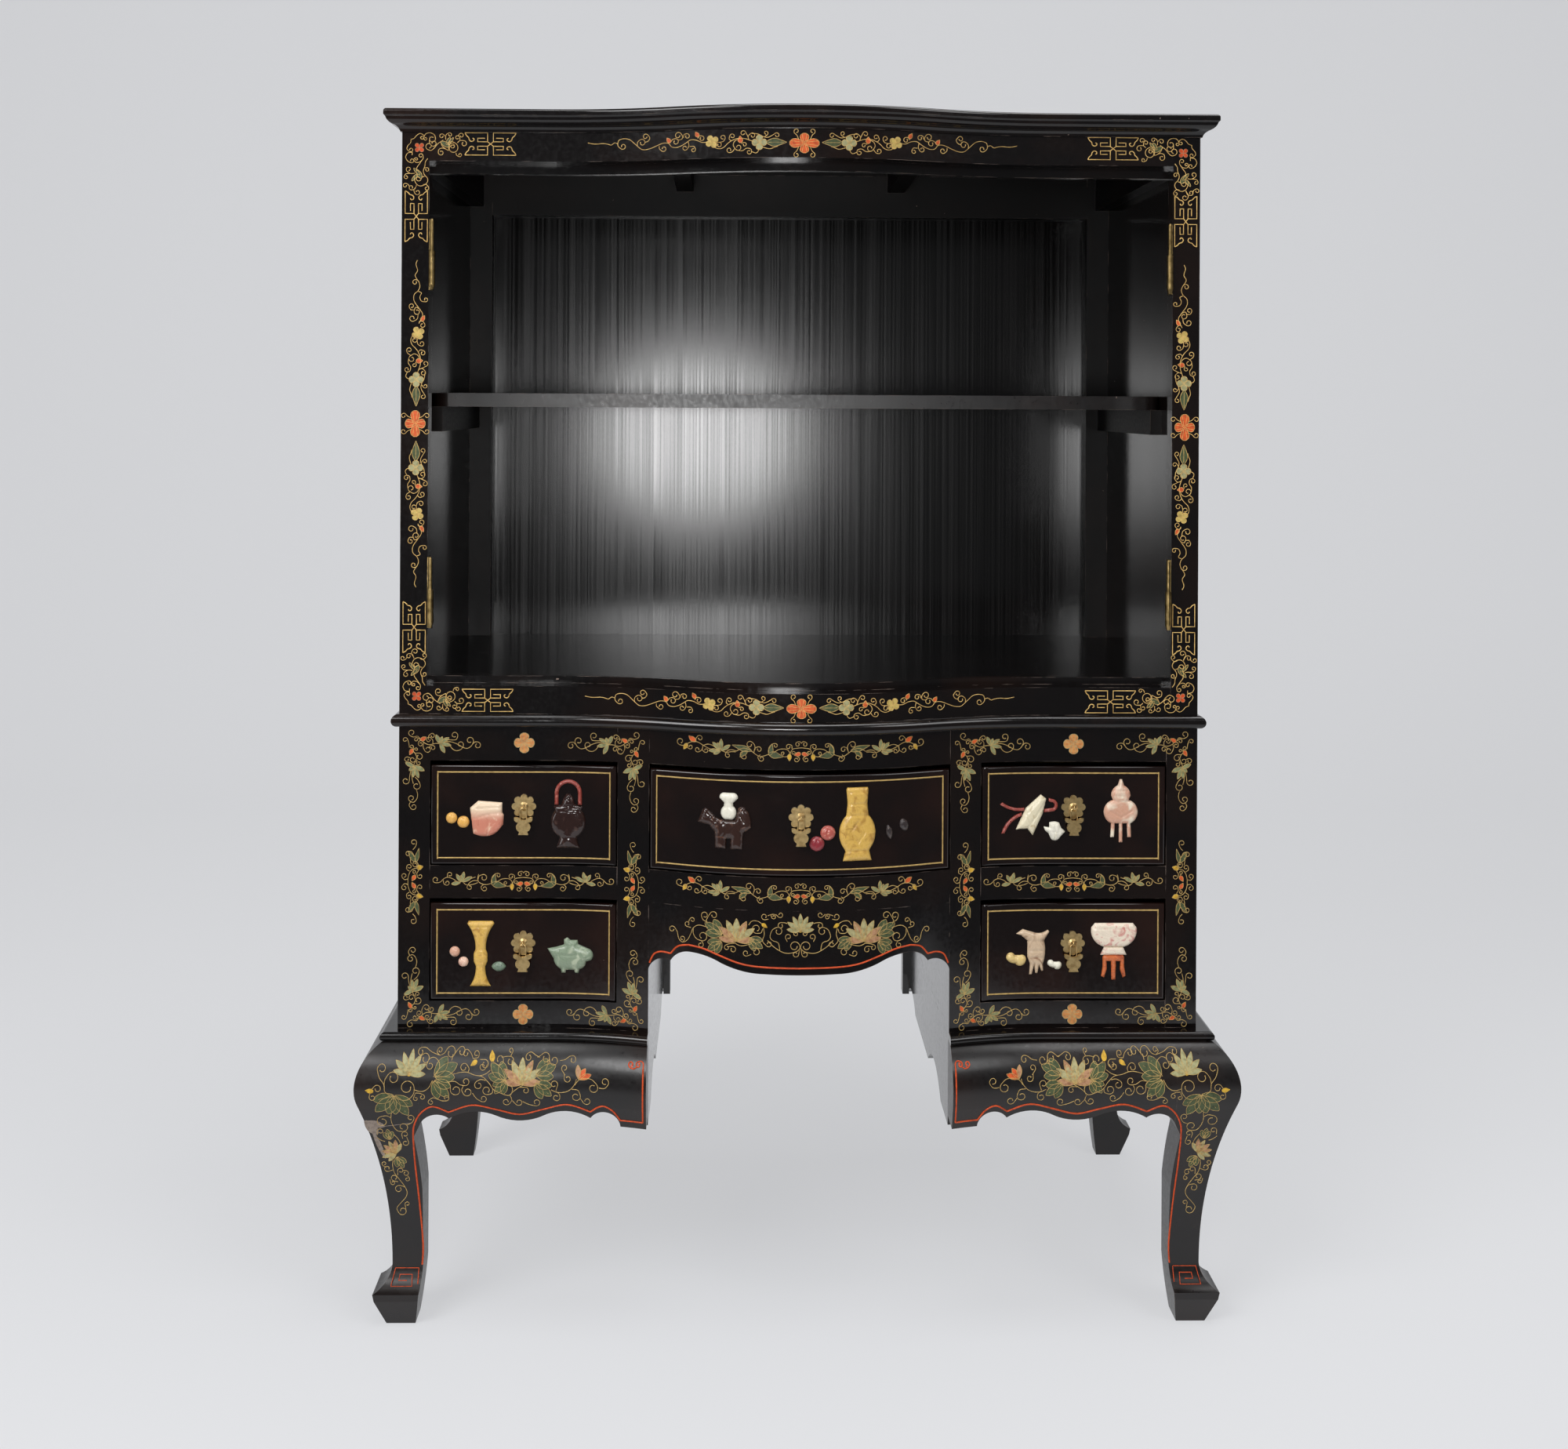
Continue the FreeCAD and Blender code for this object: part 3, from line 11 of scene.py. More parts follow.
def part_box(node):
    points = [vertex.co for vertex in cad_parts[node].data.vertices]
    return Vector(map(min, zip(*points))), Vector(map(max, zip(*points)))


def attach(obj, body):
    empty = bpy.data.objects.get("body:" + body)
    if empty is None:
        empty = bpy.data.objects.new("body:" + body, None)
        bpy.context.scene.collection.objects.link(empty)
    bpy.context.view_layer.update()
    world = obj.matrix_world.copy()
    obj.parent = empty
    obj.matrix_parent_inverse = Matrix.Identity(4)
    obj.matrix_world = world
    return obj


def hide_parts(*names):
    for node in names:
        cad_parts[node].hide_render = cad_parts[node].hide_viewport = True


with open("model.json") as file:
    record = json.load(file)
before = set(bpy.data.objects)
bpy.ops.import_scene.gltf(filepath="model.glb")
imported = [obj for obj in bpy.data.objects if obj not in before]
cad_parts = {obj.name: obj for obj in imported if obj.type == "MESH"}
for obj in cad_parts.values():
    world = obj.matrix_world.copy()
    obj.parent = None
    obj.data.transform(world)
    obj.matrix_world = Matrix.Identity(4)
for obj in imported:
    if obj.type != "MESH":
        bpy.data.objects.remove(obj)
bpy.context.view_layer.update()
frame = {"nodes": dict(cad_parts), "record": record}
mm = 0.001
weld = 0.01 * mm  # corners of a solid that lie closer than this are one
cabinet = "cabinet"
drawers = ["left_top_drawer", "left_bottom_drawer", "centre_drawer", "right_top_drawer",
           "right_bottom_drawer"]
scene = bpy.context.scene


def linear(hexText):  # sRGB hex to the linear values that shaders use
    values = []
    for start in (0, 2, 4):
        share = int(hexText[start:start + 2], 16) / 255
        values.append(share / 12.92 if share <= 0.04045 else ((share + 0.055) / 1.055) ** 2.4)
    return (*values, 1.0)


def addNode(tree, kind, links=None, **settings):
    node = tree.nodes.new(kind)
    for name, value in settings.items():
        setattr(node, name, value)
    for socket, value in (links or {}).items():
        if isinstance(value, bpy.types.NodeSocket):
            tree.links.new(value, node.inputs[socket])
        else:
            node.inputs[socket].default_value = value
    return node


def newFinish(name, **shaderValues):
    material = bpy.data.materials.new(name)
    material.use_nodes = True
    tree = material.node_tree
    tree.nodes.clear()
    shader = addNode(tree, "ShaderNodeBsdfPrincipled", shaderValues)
    addNode(tree, "ShaderNodeOutputMaterial", {"Surface": shader.outputs[0]})
    return material, tree, addNode(tree, "ShaderNodeTexCoord").outputs["Object"]


def noise(tree, place, size, detail, **more):  # clouds of a size in metres
    values = {"Vector": place, "Scale": 1 / size, "Detail": detail, **more}
    return addNode(tree, "ShaderNodeTexNoise", values).outputs[0]


def stretched(tree, place, sizes):  # for a pattern that is longer along one axis
    scale = tuple(1 / size for size in sizes)
    return addNode(tree, "ShaderNodeMapping", {"Vector": place, "Scale": scale}).outputs[0]


def ramp(tree, value, low, high, start=0.0, end=1.0):
    return addNode(tree, "ShaderNodeMapRange", {0: value, 1: low, 2: high, 3: start, 4: end}).outputs[0]


def mixed(tree, share, first, second):
    return addNode(tree, "ShaderNodeMix", {0: share, 6: first, 7: second}, data_type="RGBA").outputs[2]


def maths(tree, rule, first, second, clamp=False):
    return addNode(tree, "ShaderNodeMath", {0: first, 1: second}, operation=rule, use_clamp=clamp).outputs[0]


def dress(material, colour, roughness, height=None, strength=0.0, depth=0.0):
    tree = material.node_tree
    shader = tree.nodes["Principled BSDF"].inputs
    tree.links.new(colour, shader["Base Color"])
    tree.links.new(roughness, shader["Roughness"])
    if height is not None:
        bump = addNode(tree, "ShaderNodeBump", {"Height": height, "Strength": strength, "Distance": depth})
        tree.links.new(bump.outputs[0], shader["Normal"])
    return material


# Chinese lacquer over a brown ground: a deep gloss with slow waves in what it reflects, brown where the
# coat is thin, rubbed paler along the edges and nicked here and there.
lacquerSizes = {"waves": 80 * mm, "deep": 0.6 * mm, "thin": 130 * mm, "rub": 5 * mm, "nick": 7 * mm,
                "patch": 26 * mm, "edge": 1.2 * mm}


def lacquerFinish(name, black, brown, gloss, wear, density=1.52):
    material, tree, place = newFinish(name, IOR=density)
    thin = ramp(tree, noise(tree, place, lacquerSizes["thin"], 4.0), 0.45, 0.75)
    coat = mixed(tree, thin, linear(black), linear(brown))
    softNormal = addNode(tree, "ShaderNodeBevel", {"Radius": lacquerSizes["edge"]}, samples=4).outputs[0]
    flatNormal = addNode(tree, "ShaderNodeNewGeometry").outputs["Normal"]
    facing = addNode(tree, "ShaderNodeVectorMath", {0: softNormal, 1: flatNormal}, operation="DOT_PRODUCT")
    edge = ramp(tree, facing.outputs["Value"], 0.99, 0.8)
    patchy = ramp(tree, noise(tree, place, lacquerSizes["patch"], 5.0), 0.5, 0.68, 0.0, wear)
    chip = ramp(tree, noise(tree, place, lacquerSizes["nick"], 3.0), 0.78, 0.81)
    worn = maths(tree, "MAXIMUM", maths(tree, "MULTIPLY", edge, patchy), chip)
    dull = ramp(tree, noise(tree, place, lacquerSizes["rub"], 5.0), 0.3, 0.75, gloss, gloss + 0.1)
    return dress(material, mixed(tree, worn, coat, linear("8f7d72")), maths(tree, "ADD", dull, worn, True),
                 noise(tree, place, lacquerSizes["waves"], 2.0), 0.25, lacquerSizes["deep"])


# Thinner lacquer laid on with a wide brush inside the case: satin, with upright streaks.
streakSizes = {"across": 2.8 * mm, "along": 900 * mm, "patch": 90 * mm, "deep": 0.12 * mm}


def streakedFinish(name, dark, pale):
    material, tree, place = newFinish(name, IOR=1.5)
    sizes = (streakSizes["across"], streakSizes["across"], streakSizes["along"])
    streak = noise(tree, stretched(tree, place, sizes), 1.0, 6.0)
    both = maths(tree, "MULTIPLY", streak, noise(tree, place, streakSizes["patch"], 4.0))
    return dress(material, mixed(tree, ramp(tree, both, 0.2, 0.42), linear(dark), linear(pale)),
                 ramp(tree, streak, 0.3, 0.7, 0.12, 0.23), streak, 0.25, streakSizes["deep"])


# Mineral colour in lacquer, laid on by brush: satin, thicker and thinner along a stroke.
paintSizes = {"stroke": 4 * mm}


def paintFinish(name, full, thin, metal=0.0):
    material, tree, place = newFinish(name, Metallic=metal, **{"Specular IOR Level": 0.3})
    laid = noise(tree, place, paintSizes["stroke"], 3.0)
    return dress(material, mixed(tree, ramp(tree, laid, 0.42, 0.72), linear(full), linear(thin)),
                 ramp(tree, laid, 0.3, 0.7, 0.34, 0.52))


# Carved and polished stone: cloudy colour with veins that run aslant, and a waxy gloss.
stoneSizes = {"tool": 6 * mm, "deep": 1 * mm, "layer": 7 * mm}


def stoneFinish(name, body, vein, veinSize, veinShare=0.5, gloss=0.22, paleAbove=None):
    material, tree, place = newFinish(name, IOR=1.56)
    aslant = addNode(tree, "ShaderNodeMapping", {"Vector": place, "Rotation": (0.0, 0.7, 0.0)}).outputs[0]
    cloud = noise(tree, aslant, veinSize * mm, 5.0, Distortion=1.4)
    share = ramp(tree, cloud, 0.72 - 0.4 * veinShare, 0.88 - 0.4 * veinShare)
    if paleAbove:  # a pale layer over a height in the cabinet
        height = addNode(tree, "ShaderNodeSeparateXYZ", {0: place}).outputs["Z"]
        middle, soft = paleAbove * mm, stoneSizes["layer"]
        share = maths(tree, "MAXIMUM", share, ramp(tree, height, middle - soft, middle + soft, 0.0, 0.85))
    return dress(material, mixed(tree, share, linear(body), linear(vein)),
                 ramp(tree, cloud, 0.3, 0.8, gloss, 1.9 * gloss),
                 noise(tree, place, stoneSizes["tool"], 2.0), 0.35, stoneSizes["deep"])


# Cast and filed brass, browned in the hollows and bright where hands have rubbed it.
brassSizes = {"tarnish": 8 * mm, "deep": 0.3 * mm}


def brassFinish(name, bright, brown):
    material, tree, place = newFinish(name, Metallic=1.0)
    tarnish = noise(tree, place, brassSizes["tarnish"], 5.0)
    return dress(material, mixed(tree, ramp(tree, tarnish, 0.4, 0.7), linear(bright), linear(brown)),
                 ramp(tree, tarnish, 0.3, 0.8, 0.28, 0.5), tarnish, 0.2, brassSizes["deep"])


# Planed softwood of the drawer boxes and runners: grain along the depth, no finish.
woodSizes = {"grain": (5 * mm, 160 * mm, 5 * mm), "deep": 0.2 * mm}


def woodFinish(name, pale, dark):
    material, tree, place = newFinish(name)
    grain = noise(tree, stretched(tree, place, woodSizes["grain"]), 1.0, 5.0)
    return dress(material, mixed(tree, ramp(tree, grain, 0.35, 0.7), linear(pale), linear(dark)),
                 ramp(tree, grain, 0.0, 1.0, 0.6, 0.75), grain, 0.2, woodSizes["deep"])


finishes = {
    "lacquer": lacquerFinish("blackLacquer", "0b0808", "190f0b", 0.08, 0.6),
    "rubbed": lacquerFinish("rubbedLacquer", "0c0909", "1e120d", 0.12, 0.95),
    "satin": lacquerFinish("satinLacquer", "0d0909", "20130e", 0.27, 0.7),
    "front": lacquerFinish("drawerLacquer", "110a09", "25140f", 0.07, 0.5),
    "dull": lacquerFinish("dullLacquer", "0c0a0a", "191210", 0.38, 0.9, 1.25),
    "inside": streakedFinish("brushedLacquer", "080707", "141111"),
    "wood": woodFinish("planedSoftwood", "9a7850", "7a5a38"),
    "brownBrass": brassFinish("brownBrass", "a89060", "5c4b2c"),
    "brass": brassFinish("agedBrass", "dcc088", "8f744a"),
}
# Paints: colour where the coat is full and where it is thin, and how metallic it is
paints = {
    "gold": ("goldPaint", "dcb872", "b28c50", 0.1),
    "oldGold": ("oldGoldPaint", "c0a264", "987c4c", 0.1),
    "cream": ("creamPaint", "ada67a", "877f58"),
    "green": ("leafGreenPaint", "4c5638", "353e28"),
    "orange": ("orangePaint", "d65f2e", "aa4520"),
    "apricot": ("apricotPaint", "cf9254", "b4683a"),
    "rose": ("rosePaint", "b48a68", "8c6244"),
    "willow": ("willowPaint", "8b8d64", "666a49"),
    "sage": ("sagePaint", "a6a278", "807d56"),
    "straw": ("strawPaint", "c8b064", "a08848"),
    "yellow": ("yellowPaint", "d2a838", "a37d28"),
    "vermilion": ("vermilionPaint", "cf4e20", "a53e1c"),
    "bare": ("bareGround", "8d8076", "6d6158"),  # where the lacquer has flaked
}
# Stones: body, veins and their size in millimetres, then what is not as usual: the share of the veins, the
# gloss, and the height in the cabinet over which the stone is pale
stones = {
    "honey": ("honeySoapstone", "e2ae58", "cc9040", 9),
    "sand": ("sandySoapstone", "d4ac56", "b0843a", 12),
    "pink": ("pinkSoapstone", "c9806a", "efdcbe", 24, 0.42, 0.22, 630),
    "smoke": ("smokyAgate", "2a1a17", "5c463f", 16, 0.36, 0.09),
    "russet": ("russetAgate", "32201b", "684838", 12, 0.4, 0.09),
    "coral": ("coralAgate", "923f35", "ba7466", 7, 0.4),
    "plum": ("plumAgate", "8a3038", "b8685c", 9, 0.4, 0.14),
    "peach": ("peachAgate", "b0584e", "d8a088", 9, 0.45, 0.16),
    "blush": ("blushSoapstone", "cf9f86", "e9dcc6", 26, 0.55),
    "berry": ("berryAgate", "e0bca6", "b4524a", 6, 0.45),
    "teaJade": ("celadonJade", "7f8f78", "a9b39a", 14),
    "seedJade": ("spinachJade", "6c7f6c", "48594a", 6),
    "tan": ("tanSoapstone", "d8bd7c", "b6935a", 10, 0.45),
    "whiteJade": ("muttonJade", "e4e0d0", "c8c2a8", 14, 0.4),
    "ivory": ("ivoryStone", "e0d6b8", "c4b28a", 12, 0.4),
    "veined": ("roseVeinedStone", "e8dac6", "cc867c", 11),
    "brownJade": ("brownJade", "c9b093", "927056", 15, 0.45),
    "ember": ("orangeAgate", "c86a3a", "963f24", 9),
    "umber": ("umberStone", "363030", "6a5a52", 10, 0.5, 0.1),
}
finishes.update((key, paintFinish(*row)) for key, row in paints.items())
finishes.update((key, stoneFinish(*row)) for key, row in stones.items())
print("finishes:", len(finishes))

# Every solid takes the finish of its slot in the record, apart from those that are more or less worn
slotFinish = {"black_lacquer": "lacquer", "interior_lacquer": "inside", "bare_wood": "wood",
              "brass": "brass", "hardstone": "ivory"}
finishNodes = {
    "rubbed": ("cornice_moulding", "waist_moulding", "base_mouldings", "door_stops", "head_rail"),
    "satin": ("shelf", "front_aprons", "side_aprons", "front_left_leg", "front_right_leg", "rear_left_leg",
              "rear_right_leg"),
    "dull": ("shelf_cleats", "rear_posts", "top_framing"),
    "brownBrass": ("hinge_leaves", "hinge_pins"),
}
ownFinish = {node: finish for finish, nodes in finishNodes.items() for node in nodes}
for row in frame["record"]["subparts"]:
    finish = ownFinish.get(row["node"], slotFinish[row["material_slot"]])
    solid = frame["nodes"][row["node"]].data
    solid.materials.clear()
    solid.materials.append(finishes[finish])

# Front of the case in plan, in millimetres: flat at the sides, hollow, then a bow in the middle
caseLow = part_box("upper_stiles")[0]
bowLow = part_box("head_rail")[0]
case = {"front": caseLow.y / mm, "bow": (caseLow.y - bowLow.y) / mm, "bowEnd": 310.0}
case["bowRadius"] = ((case["bowEnd"] / 2) ** 2 + (case["bow"] / 2) ** 2) / case["bow"]

# Profile of knee, leg and foot: how far they stand out from the case front at each height
leg = {"top": 352.0, "kneeHeight": 302.0, "kneeReach": 45.0, "kneeRadius": 57.6, "ankleHeight": 72.0,
       "ankleReach": 4.0, "toeHeight": 42.0, "toeReach": 25.0}
leg["kneeCentre"] = leg["kneeReach"] - leg["kneeRadius"]
rise = leg["kneeHeight"] - leg["ankleHeight"]
leg["hollowRadius"] = (((leg["ankleReach"] - leg["kneeCentre"]) ** 2 + rise ** 2 - leg["kneeRadius"] ** 2)
                       / (2 * (leg["kneeRadius"] - leg["ankleReach"] + leg["kneeCentre"])))
leg["turnHeight"] = leg["kneeHeight"] - rise * leg["kneeRadius"] / (leg["kneeRadius"] + leg["hollowRadius"])
flareRise, flareRun = leg["ankleHeight"] - leg["toeHeight"], leg["toeReach"] - leg["ankleReach"]
leg["flareRadius"] = (flareRun ** 2 + flareRise ** 2) / (2 * flareRun)


def frontLine(x):
    radius = case["bowRadius"]
    across = min(abs(x), case["bowEnd"])
    if across > case["bowEnd"] / 2:
        return case["front"] - radius + math.sqrt(radius ** 2 - (case["bowEnd"] - across) ** 2)
    return case["front"] - case["bow"] + radius - math.sqrt(radius ** 2 - across ** 2)


def frontNormal(x):
    slope = frontLine(x + 0.5) - frontLine(x - 0.5)
    return Vector((slope, -1.0, 0.0)).normalized()


def legReach(z):
    if z > leg["turnHeight"]:
        return leg["kneeCentre"] + math.sqrt(leg["kneeRadius"] ** 2 - (z - leg["kneeHeight"]) ** 2)
    radius = leg["hollowRadius"] if z > leg["ankleHeight"] else leg["flareRadius"]
    return leg["ankleReach"] + radius - math.sqrt(radius ** 2 - (z - leg["ankleHeight"]) ** 2)


# A face gives the point at x, z on a painted surface, in millimetres, and the way it looks
def caseFace(x, z):
    return Vector((x, frontLine(x), z)), frontNormal(x)


def baseFace(x, z):
    reach = legReach(z)
    root = x
    for _ in range(6):
        root = x - frontNormal(root).x * reach
    normal = frontNormal(root)
    slope = legReach(z + 0.5) - legReach(z - 0.5)
    point = Vector((root, frontLine(root), z)) + normal * reach
    return point, (normal - Vector((0.0, 0.0, slope))).normalized()


# Half outlines of the painted shapes: share of the length, half width as a share of the width
petalShapes = {
    "leaf": [(0.0, 0.1), (0.16, 0.34), (0.4, 0.5), (0.7, 0.3), (1.0, 0.02)],
    "petal": [(0.0, 0.14), (0.3, 0.36), (0.62, 0.5), (0.86, 0.4), (1.0, 0.14)],
    "drop": [(0.0, 0.2), (0.25, 0.48), (0.55, 0.46), (0.82, 0.22), (1.0, 0.03)],
    "dot": [(0.0, 0.2), (0.25, 0.46), (0.5, 0.5), (0.75, 0.46), (1.0, 0.2)],
    "lobe": [(0.0, 0.12), (0.22, 0.36), (0.52, 0.5), (0.82, 0.36), (1.0, 0.05)],
    "lotus": [(0.0, 0.12), (0.28, 0.38), (0.58, 0.5), (0.84, 0.3), (1.0, 0.03)],
}
# Widths of the painted lines, and how the films of the petals lie, in millimetres
brush = {"bold": 0.88, "vine": 0.85, "fine": 0.66, "fret": 1.3, "border": 1.9, "edge": 2.3, "curl": 1.84,
         "sides": 5, "lift": 0.02, "film": 0.16, "thinner": 0.6, "sunk": 0.25, "long": 10, "broad": 6}
spiral = {"grow": 1.12, "turns": 0.72, "moreTurns": 0.035, "close": 0.5, "steps": 16, "end": 1.4}
lineWork = {}
petalWork = {}


def stroke(motif, points, width, colour="gold"):
    motif.append(("line", colour, width, points))


def smoothPath(points, steps=6):  # Catmull-Rom curve through a few points
    path = []
    ends = [points[0]] + list(points) + [points[-1]]
    for a, b, c, d in zip(ends, ends[1:], ends[2:], ends[3:]):
        for step in range(steps):
            t = step / steps
            path.append(tuple(
                0.5 * (2 * q + (r - p) * t + (2 * p - 5 * q + 4 * r - s) * t ** 2
                       + (3 * q - p - 3 * r + s) * t ** 3) for p, q, r, s in zip(a, b, c, d)))
    return path + [points[-1]]


def rotated(a, b, angle):
    turn = math.radians(angle)
    return a * math.cos(turn) - b * math.sin(turn), a * math.sin(turn) + b * math.cos(turn)


def outlineFor(shape, length):  # a long petal has twice the stations of a short one
    return smoothPath(petalShapes[shape], 2) if length > brush["long"] else petalShapes[shape]


def petal(motif, shape, colour, u, v, angle, length, width, outline=None):
    motif.append(("petal", colour, shape, (u, v), angle, length, width))
    if outline:
        edge = [(t * length, w * width) for t, w in outlineFor(shape, length)]
        edge += [(a, -b) for a, b in reversed(edge)]
        spots = [rotated(a, b, angle) for a, b in edge + edge[:1]]
        stroke(motif, [(u + a, v + b) for a, b in spots], brush["fine"], outline)


def petalRows(motif, shape, colour, rows, outline="gold"):
    for row in rows:  # each row: where it springs from, which way, how long and how wide
        petal(motif, shape, colour, *row, outline)


# A stem through a few points that ends in a spiral, to the left of its way where the radius is above zero
def tendrils(motif, rows, width=brush["bold"], colour="gold"):
    for radius, *stem in rows:
        line = smoothPath(stem)
        if radius:
            (a, b), (u, v) = line[-2:]
            side, reach = math.copysign(1.0, radius), abs(radius) * spiral["grow"]
            start = math.atan2(v - b, u - a) - side * math.pi / 2
            eye = (u - reach * math.cos(start), v - reach * math.sin(start))
            turn = side * math.tau * (spiral["turns"] + spiral["moreTurns"] * reach)
            for step in range(1, spiral["steps"] + 1):
                share = step / spiral["steps"]
                away, angle = reach * (1 - spiral["close"] * share), start + turn * share
                line.append((eye[0] + away * math.cos(angle), eye[1] + away * math.sin(angle)))
            u, v = line[-1]
            end = width * spiral["end"]
            petal(motif, "dot", colour, u - end / 2, v, 0, end, end)
        stroke(motif, line, width, colour)


def quatrefoil(motif, u, v, size, colour, stretch, rim):
    for quarter in range(4):
        reach = size / 2 * (stretch if quarter % 2 == 0 else 1.0)
        petal(motif, "petal", colour, u, v, 90 * quarter, reach, size * 0.46, rim)
    petal(motif, "dot", "yellow", u - size * 0.08, v, 0, size * 0.16, size * 0.16)


# Lotus seen from the side: broad pointed petals round a yellow heart
def openLotus(motif, u, v, angle, size):
    for lean, share in ((-84, 0.82), (84, 0.82), (-56, 0.94), (56, 0.94), (-28, 0.98), (28, 0.98), (0, 1.04)):
        petal(motif, "lotus", "sage", u, v, angle + lean, size * share, size * 0.29, "gold")
    petal(motif, "dot", "yellow", u - size * 0.1, v, 0, size * 0.2, size * 0.2)


# Open lotus: three rows of petals, the back row longest
def lotusBloom(motif, u, v, size, colours=("cream", "rose", "cream"), angle=90):
    for row, (count, share, spread) in enumerate(((5, 1.0, 54), (4, 0.8, 84), (3, 0.55, 40))):
        for index in range(count):
            lean = spread * (2 * index / (count - 1) - 1)
            colour = colours[(index + row) % len(colours)]
            petal(motif, "lotus", colour, u, v, angle + lean, size * share, size * 0.31, "gold")


# Leaves with three broad lobes and a vein along each
def vineLeaves(motif, rows):
    for u, v, angle, size in rows:
        for lean, share in ((-30, 0.82), (30, 0.82), (0, 1.0)):
            petal(motif, "lobe", "green", u, v, angle + lean, size * share, size * 0.44, "gold")
        for lean, share in ((-30, 0.64), (30, 0.64), (0, 0.82)):
            a, b = rotated(size * share, 0.0, angle + lean)
            stroke(motif, [(u, v), (u + a, v + b)], brush["fine"])


def keyFret():
    fret = {"long": 31.8, "high": 13.9, "inner": 3.6, "step": 7.2, "back": 16.0, "low": 2.8, "start": 7.0}
    outer = [(fret["long"], fret["high"]), (fret["inner"], fret["high"]), (fret["inner"], fret["low"]),
             (0.0, 0.0)]
    inner = [(fret["inner"], fret["low"]), (fret["back"], fret["low"]), (fret["back"], fret["step"]),
             (fret["start"], fret["step"])]
    tip = smoothPath([outer[0], (30, 10.5), (27.3, 8), (26.4, 5), (24, 3.1), (21.2, 4), (20.6, 6.2),
                      (22.4, 7.2)], 4)
    motif = []
    for acrossSign in (-1, 1):
        for upSign in (-1, 1):
            for line in (outer, inner, tip):
                stroke(motif, [(acrossSign * a, upSign * b) for a, b in line], brush["fret"])
    return motif


# Vines are drawn as the half to the left of their middle: (0, 0) is the middle, and the tip lies at minus x.
# Half of the vine on the head rail, sill and upper stiles
def longVine(onRail):
    motif = []
    tendrils(motif, (
        (-3, (-110, -3), (-108, 1), (-105, 2)), (3, (-103, 2), (-99, 3), (-97, 6)),
        (0, (-111, -2), (-108, -5), (-103, -6), (-98, -4), (-94, 0), (-89, 3.5), (-82, 6), (-74, 6),
         (-67.5, 4), (-61.5, 2)), (-2.8, (-89, 3), (-92, 6), (-91, 10)),
        (3.6, (-80, 5.5), (-85, 3), (-87, -2), (-84, -7)), (-3, (-85, -6), (-88, -10), (-91, -11)),
        (-2.8, (-83, -8), (-76, -9), (-70.5, -6), (-65.5, -7), (-64.5, -10)),
        (0, (-64.5, -10), (-59.5, -12), (-56.5, -10), (-55.5, -6)), (-2.4, (-77, 0), (-74, 1)),
        (3, (-67.5, 4), (-69.5, 9), (-72, 14)), (-3, (-68.5, 5), (-68.5, 9), (-65.5, 12)),
        (-2.8, (-64.5, 12), (-56.5, 11), (-50.5, 8), (-44.5, 7), (-38.5, 10), (-35.5, 12)),
        (2.5, (-48.5, 8), (-45.5, 10)),
        (0, (-50.5, -5), (-42.5, -7), (-36.5, -5), (-32.5, -4))))
    if onRail:
        tendrils(motif, (
            (3.4, (-231, 5), (-230, 1), (-226.5, -2)),
            (0, (-268.5, 6), (-259.5, 4.5), (-249.5, 5), (-243, 4), (-239, 3), (-235, 5.5), (-231, 5),
             (-229, 9), (-222.5, 10.5), (-215.5, 9), (-209.5, 4), (-205, 0), (-200, -3.5), (-193, -3.5),
             (-185.5, -1), (-179.5, 1.5), (-173.5, 3.5), (-167, 3), (-163, -1.5), (-157, -2.5),
             (-150.5, -0.5), (-144.5, 3), (-139.5, 6), (-132.5, 5.5), (-125.5, 2.5), (-120, 2.5)),
            (-4, (-206, 0.5), (-206, 5.5), (-203, 8.5)),
            (3.2, (-197, 5.5), (-193, 6.5), (-190.5, 10.5), (-193, 14.5)),
            (3.2, (-178.5, 0), (-178.5, -3), (-175.5, -6)), (-3.6, (-165, 3.5), (-162, 7.5), (-159, 8.5)),
            (3.8, (-155, 6.5), (-150.5, 7.5), (-149.5, 11), (-151.5, 14.5)),
            (-3, (-148.5, 9), (-147.5, 13), (-144.5, 14)), (-3, (-142.5, 4), (-141.5, -1), (-143.5, -5)),
            (-2.6, (-140.5, -2), (-135.5, -2), (-133.5, -5)),
            (-3, (-130.5, 7.5), (-128.5, 10.5), (-125.5, 10.5))))
        petalRows(motif, "drop", "orange", ((-165, 4, 125, 7, 5), (-130, 9.5, 120, 7, 5)))
    else:
        tendrils(motif, (
            (0, (-204, 2), (-199, 0), (-191, 2), (-185, -1), (-179, 2)),
            (3, (-125, 4), (-131, 7), (-137, 8.5), (-144, 4), (-153, -2), (-161, -2), (-166, 3), (-172, 5),
             (-178, 3), (-179.5, 0)), (-3, (-127, 4), (-128, 8), (-125, 11)),
            (3.6, (-143, 5), (-145, 0), (-141, -2)), (-3, (-142, -2), (-142, -6), (-145, -8)),
            (-3.6, (-137, 3), (-131, 2), (-128, -2)),
            (2.6, (-165, 3), (-163, 7), (-158, 5), (-153, 7), (-152, 12))))
        petalRows(motif, "drop", "orange", ((-128, 7, 150, 8, 5),))
    petalRows(motif, "drop", "orange", ((-78, 1, 95, 8, 6),))
    petalRows(motif, "leaf", "green", ((-46, 1, 0, 24, 10),))
    stroke(motif, [(-44, 1), (-25, 1)], brush["fine"])
    quatrefoil(motif, -55, 1, 18, "sage", 1.0, "gold")
    petalRows(motif, "petal", "straw", [(-113, 3, turn, 8, 7) for turn in (30, 120, 210, 300)])
    return motif


